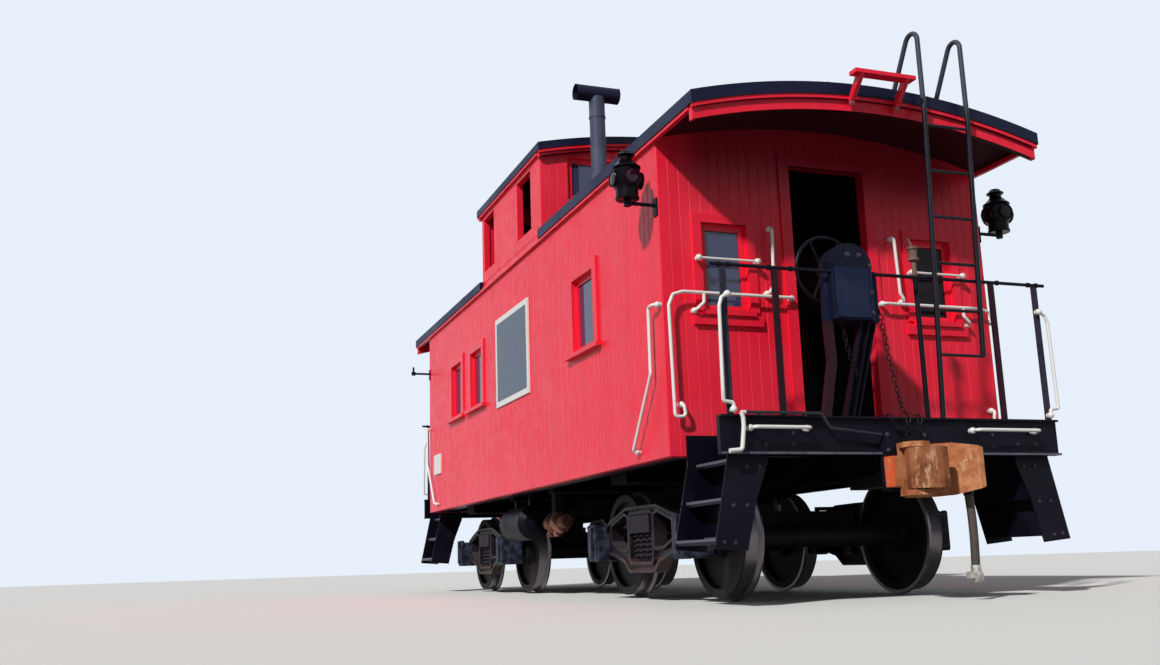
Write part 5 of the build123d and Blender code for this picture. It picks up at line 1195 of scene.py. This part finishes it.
def model_bolt():
    washer = {"radius": WASHER_RADIUS, "depth": WASHER_THICKNESS, "location": (0, 0, WASHER_THICKNESS / 2)}
    bolt = begin("bolt", bpy.ops.mesh.primitive_cylinder_add, vertices=12, **washer)
    pick(lambda at, out: out.z > 0.9)
    bpy.ops.mesh.inset(thickness=HEAD_INSET)
    extrude((0, 0, SHOULDER_Z - WASHER_THICKNESS))
    bpy.ops.transform.resize(value=(0.9, 0.9, 1), center_override=(0, 0, SHOULDER_Z))
    extrude((0, 0, CROWN_Z - SHOULDER_Z))
    bpy.ops.transform.resize(value=(0.55, 0.55, 1), center_override=(0, 0, CROWN_Z))
    return close(bolt, 40)


bolt = model_bolt()
# Each bolt's y and z
SILL_BOLTS = [(-1.004, 0.999), (-0.805, 1.000), (-0.799, 1.074)]
SILL_BOLTS += [(0.764, 1.075), (0.758, 0.998), (0.973, 1.013), (1.124, 1.012)]
PLATE_BOLTS = [(1.235, 0.624), (1.139, 0.623), (1.310, 0.402)]
PLATE_BOLTS += [(1.236, 0.396), (1.128, 0.863), (1.035, 0.863)]
PLATE_BOLTS += [(-y, z) for y, z in PLATE_BOLTS]
STRIKER_BOLTS = [(y, z) for z in (1.060, 0.960, 0.730) for y in (-0.145, 0.145)]
HOUSING_BOLTS = [(-0.309, 2.275), (-0.218, 2.275), (-0.143, 2.205), (-0.143, 2.020), (-0.143, 1.880)]
BRACKET_BOLTS = [(-0.184, 3.372), (0.184, 3.372)]
# Bolts that face along the car: x, scale, paint and rows
FACED_BOLTS = {
    "sill_bolts": (4.237, 0.60, "bolt_grey", SILL_BOLTS),
    "step_plate_bolts": (4.197, 0.60, "bolt_grey", PLATE_BOLTS),
    "striker_bolts": (4.312, 0.75, "bolt_grey", STRIKER_BOLTS),
    "housing_bolts": (4.267, 1.0, "bolt_grey", HOUSING_BOLTS),
    "plank_bracket_bolts": (4.289, 1.0, "bolt_red", BRACKET_BOLTS),
}
for name, (x, scale, own_paint, rows) in FACED_BOLTS.items():
    places = [stood((x, y, z), NEAR) @ Matrix.Scale(scale, 4) for y, z in rows]
    copies(bolt, name, both_ends(places), own_paint=own_paint)
plank_bolts = [stood((4.415, y, 3.552)) for y in (-0.205, -0.163, 0.163, 0.205)]
copies(bolt, "plank_bolts", both_ends(plank_bolts))
discard(bolt)

# %% [markdown]
# ## Chains
#
# A chain hangs from the brake housing to its channel leg, and another from the housing's guide down
# over the sill to the coupler, where it lies in loops. One link is a torus pulled long, and its
# copies follow points of a smooth curve, each turned a quarter from the last.

# %% Chains
LINK_PITCH, LINK_RADIUS, LINK_WIRE, LINK_STRETCH = 0.036, 0.0135, 0.0038, 0.0082
CHAINS = {
    "housing_chain": [
        (4.200, -0.345, 1.845), (4.205, -0.335, 1.700), (4.210, -0.300, 1.560), (4.215, -0.262, 1.460),
    ],
    "coupler_chain": [
        (4.190, -0.036, 1.930), (4.215, -0.012, 1.640), (4.230, 0.020, 1.380), (4.262, 0.034, 1.215),
        (4.318, 0.028, 1.200), (4.338, 0.010, 1.120), (4.350, -0.020, 1.040), (4.375, -0.030, 0.992),
        (4.440, 0.010, 0.988),
    ],
    "coupler_loop": [
        (4.260, -0.120, 1.196), (4.318, -0.112, 1.196), (4.334, -0.090, 1.110), (4.336, -0.020, 1.070),
        (4.336, 0.060, 1.075), (4.334, 0.105, 1.120), (4.318, 0.118, 1.196), (4.260, 0.126, 1.196),
    ],
}


def model_link():
    ring = {"major_segments": 12, "minor_segments": 6, "rotation": (math.pi / 2, 0, 0)}
    radii = {"major_radius": LINK_RADIUS, "minor_radius": LINK_WIRE}
    link = begin("link", bpy.ops.mesh.primitive_torus_add, **ring, **radii)
    for side in (1, -1):
        pick(lambda at, out: side * at.z > 0.0005, "VERT")
        bpy.ops.transform.translate(value=(0, 0, side * LINK_STRETCH))
    return close(link, 60)


def spaced_along(route):
    """Points on a smooth curve through a route, one link apart, and the way it runs there."""
    holder = smooth_curve("chain_route", route, steps=24)
    line = centre_line(holder)
    bpy.data.objects.remove(holder)
    spots, travelled, wanted = [], 0.0, LINK_PITCH / 2
    for start, end in zip(line, line[1:]):
        step = (end - start).length
        while travelled + step >= wanted:
            share = (wanted - travelled) / step
            spots.append((start.lerp(end, share), (end - start).normalized()))
            wanted += LINK_PITCH
        travelled += step
    return spots


link = model_link()
for name, route in CHAINS.items():
    spots = enumerate(spaced_along(route))
    links = [stood(spot, along, spin=i % 2 * math.pi / 2) for i, (spot, along) in spots]
    copies(link, name, both_ends(links))
discard(link)

# %% [markdown]
# ## Marker lamps
#
# The two lamps at the open end are railway markers: a round sheet-metal body with a vented cap, and
# a lens in a short barrel on each of four sides. A lathe would make every part of one, so each is a
# disc extruded and resized ring by ring, and it stands for the plain lamps of the construction.

# %% Marker lamps with their lenses
LAMP_X, LAMP_Y, LAMP_SEAT = 3.582, 1.600, 2.770
LENS_Z = LAMP_SEAT + 0.148
# Seat and foot, body and rim, cone and neck, cap
LAMP_PROFILE = [
    (0.060, 0.001), (0.080, 0.001), (0.085, 0.007), (0.085, 0.018), (0.079, 0.023), (0.079, 0.082),
    (0.088, 0.092), (0.097, 0.108), (0.097, 0.214), (0.091, 0.222), (0.103, 0.227), (0.103, 0.236),
    (0.092, 0.244), (0.054, 0.284), (0.046, 0.290), (0.046, 0.316), (0.064, 0.320), (0.067, 0.328),
    (0.060, 0.334), (0.040, 0.337), (0.044, 0.348), (0.036, 0.358), (0.018, 0.364),
]
BARREL_PROFILE = [
    (0.056, 0.060), (0.056, 0.100), (0.062, 0.101), (0.063, 0.107),
    (0.060, 0.1115), (0.055, 0.1115), (0.051, 0.104),
]
LENS_PROFILE = [(0.0505, 0.1035), (0.048, 0.1065), (0.040, 0.1088), (0.028, 0.1104), (0.012, 0.1113)]
lamp_body = turned("lamp_body", 36, LAMP_PROFILE)
barrel = turned("barrel", 28, BARREL_PROFILE)
lens = turned("lens", 28, LENS_PROFILE)
lamp_places = [stood((LAMP_X, y, LAMP_SEAT)) for y in (-LAMP_Y, LAMP_Y)]
lens_spots = [(LAMP_X, y, LENS_Z) for y in (-LAMP_Y, LAMP_Y)]
lens_places = [stood(spot, out) for spot in lens_spots for out in (NEAR, FAR, RIGHT, LEFT)]
bodies = copies(lamp_body, "lamp_bodies", lamp_places, material_slot="lamp_black")
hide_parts("marker_lamps")
copies(barrel, "lamp_barrels", lens_places, material_slot="lamp_black")
copies(lens, "lamp_lenses", lens_places, material_slot="window_glass", own_paint="lens_glass")
discard(lamp_body, barrel, lens)

# %% [markdown]
# ## Smoke jack
#
# The stove's chimney ends in a short cross drum, open at both ends, that keeps the wind out. The
# construction holds it as solid cylinders. Here it is sheet metal: two cups back to back make the
# drum, so that its mouths are hollow, and a band and a seam strip show on the pipe.

# %% Smoke jack
JACK_X, JACK_Y, JACK_TOP = 1.375, -0.920, 4.570
PIPE_PROFILE = [
    (0.098, 3.395), (0.098, 3.470), (0.080, 3.500), (0.072, 3.502), (0.072, 4.325),
    (0.078, 4.327), (0.078, 4.347), (0.0735, 4.350), (0.0735, 4.530),
]
CUP_PROFILE = [
    (0.0735, 0.000), (0.0735, 0.2050), (0.0758, 0.2060), (0.0758, 0.2120),
    (0.0700, 0.2120), (0.0690, 0.1500), (0.0690, 0.0200),
]
SEAM_SIZE, SEAM_EDGE = (0.014, 0.004, 1.02), 0.0012
SEAM_MIDDLE_Z, SEAM_OUT, SEAM_HEADING = 4.010, 0.0732, 62
pipe = turned("pipe", 36, PIPE_PROFILE)
cup = turned("cup", 36, CUP_PROFILE)
jack_pipe = copies(pipe, "jack_pipe", [Matrix.Translation((JACK_X, JACK_Y, 0))], material_slot="smoke_pipe")
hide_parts("smoke_jack")
cup_places = [stood((JACK_X, JACK_Y, JACK_TOP), out) for out in (LEFT, RIGHT)]
copies(cup, "jack_drum", cup_places, material_slot="smoke_pipe", own_paint="smoke_drum")
discard(pipe, cup)
seam = begin("seam", bpy.ops.mesh.primitive_cube_add, size=1)
bpy.ops.mesh.select_all(action="SELECT")
bpy.ops.transform.resize(value=SEAM_SIZE, center_override=(0, 0, 0))
bpy.ops.mesh.bevel(offset=SEAM_EDGE, segments=1)
close(seam)
seam_place = Matrix.Translation((JACK_X, JACK_Y, SEAM_MIDDLE_Z))
seam_place @= Matrix.Rotation(math.radians(SEAM_HEADING), 4, "Z") @ Matrix.Translation((0, -SEAM_OUT, 0))
copies(seam, "jack_seam", [seam_place], material_slot="smoke_pipe")
discard(seam)

# %% [markdown]
# ## Truck springs
#
# The truck's bolster rests on three coil springs in each side frame. The construction has plain
# posts there. A Screw modifier winds a small circle up into a coil round each post, and its open
# ends are filled.

# %% Coil springs
SPRING_FOOT, SPRING_HEIGHT, SPRING_TURNS = 0.302, 0.216, 5
SPRING_RADIUS, SPRING_WIRE = 0.046, 0.0105
SPRING_STEP, SPRING_Y = 0.118, 0.990


def model_spring():
    wire = {"vertices": 8, "radius": SPRING_WIRE, "fill_type": "NOTHING", "rotation": (math.pi / 2, 0, 0)}
    start = (SPRING_RADIUS, 0, SPRING_WIRE)
    spring = begin("spring", bpy.ops.mesh.primitive_circle_add, location=start, **wire)
    bpy.ops.object.mode_set(mode="OBJECT")
    coil = spring.modifiers.new("coil", "SCREW")
    coil.axis = "Z"
    coil.angle = 2 * math.pi
    coil.iterations = SPRING_TURNS
    coil.screw_offset = (SPRING_HEIGHT - 2 * SPRING_WIRE) / SPRING_TURNS
    coil.steps = 16
    coil.render_steps = 16
    bpy.ops.object.modifier_apply(modifier="coil")
    bpy.ops.object.mode_set(mode="EDIT")
    bpy.ops.mesh.select_all(action="SELECT")
    bpy.ops.mesh.remove_doubles(threshold=0.0001)
    bpy.ops.mesh.fill_holes(sides=8)
    return close(spring, 60)


spring = model_spring()
posts = [(step, y) for y in (-SPRING_Y, SPRING_Y) for step in (-SPRING_STEP, 0, SPRING_STEP)]
for end_name, truck_x in (("near", TRUCK_X), ("far", -TRUCK_X)):
    places = [Matrix.Translation((truck_x + step, y, SPRING_FOOT)) for step, y in posts]
    copies(spring, f"truck_springs_{end_name}", places, f"truck_{end_name}", "truck_casting")
discard(spring)

# %% [markdown]
# ## Small clips and collars
#
# Angle clips hold the treads to the step plates, collars hold the top rails to their posts, and each
# door has a knob. The clip is a short bar with one end turned up, the collar a thick ring.

# %% Tread clips, rail collars and door knobs
CLIP_LENGTH, CLIP_WIDTH, CLIP_THICKNESS, CLIP_RISE, CLIP_EDGE = 0.055, 0.060, 0.008, 0.048, 0.0015
CLIP_X, CLIP_INSET = (4.185, 3.619), 0.060
# Height and outer end of each tread that has clips
CLIPPED_TREADS = [(0.675, 1.280), (0.425, 1.365)]
COLLAR_PROFILE = [
    (0.0125, 0), (0.017, 0), (0.018, 0.004), (0.018, 0.018), (0.017, 0.022), (0.0125, 0.022),
]
TOP_RAIL_X, TOP_RAIL_Z = 4.252, 2.155
COLLAR_Y = (-1.285, -1.215, -0.918, -0.753, 0.753, 0.918, 1.193, 1.263)
KNOB_PROFILE = [
    (0.030, 0), (0.030, 0.004), (0.012, 0.008), (0.010, 0.034),
    (0.022, 0.040), (0.029, 0.052), (0.024, 0.064), (0.010, 0.069),
]
KNOB_Z, KNOB_INSET, FAR_KNOB_Y = 2.02, 0.065, -0.25
# How far each knob's foot stands inside its door's face
NEAR_KNOB_SUNK, FAR_KNOB_SUNK = 0.012, 0.004


def model_clip():
    """An angle clip: its foot on a tread, its back against a plate that faces along X."""
    clip = begin("clip", bpy.ops.mesh.primitive_cube_add, size=1)
    bpy.ops.mesh.select_all(action="SELECT")
    bpy.ops.transform.resize(value=(CLIP_LENGTH, CLIP_WIDTH, CLIP_THICKNESS), center_override=(0, 0, 0))
    bpy.ops.transform.translate(value=(-CLIP_LENGTH / 2, 0, CLIP_THICKNESS / 2))
    bpy.ops.mesh.bisect(plane_co=(-CLIP_THICKNESS, 0, 0), plane_no=(1, 0, 0))
    pick(lambda at, out: out.z > 0.9 and at.x > -CLIP_THICKNESS)
    extrude((0, 0, CLIP_RISE))
    bpy.ops.mesh.select_all(action="SELECT")
    bpy.ops.mesh.bevel(offset=CLIP_EDGE, segments=1, affect="EDGES")
    return close(clip)


clip = model_clip()
clip_places = []
for tread_z, outer_y in CLIPPED_TREADS:
    for side in (-1, 1):
        y = side * (outer_y - CLIP_INSET)
        clip_places.append(Matrix.Translation((CLIP_X[0], y, tread_z)))
        clip_places.append(Matrix.Translation((CLIP_X[1], y, tread_z)) @ HALF_TURN)
copies(clip, "tread_clips", both_ends(clip_places))
collar = turned("collar", 16, COLLAR_PROFILE)
collars = [stood((TOP_RAIL_X, y, TOP_RAIL_Z), RIGHT) for y in COLLAR_Y]
copies(collar, "top_rail_collars", both_ends(collars))
knob = turned("knob", 24, KNOB_PROFILE)
near_door, far_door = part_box("door_near")[0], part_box("door_far")[0]
near_knob = stood((near_door[0] + KNOB_INSET, near_door[1] + NEAR_KNOB_SUNK, KNOB_Z), LEFT)
far_knob = stood((far_door[0] + FAR_KNOB_SUNK, FAR_KNOB_Y, KNOB_Z), FAR)
copies(knob, "door_knob_near", [near_knob], "door_near", "coupling_metal")
copies(knob, "door_knob_far", [far_knob], "door_far", "coupling_metal")
discard(clip, collar, knob)
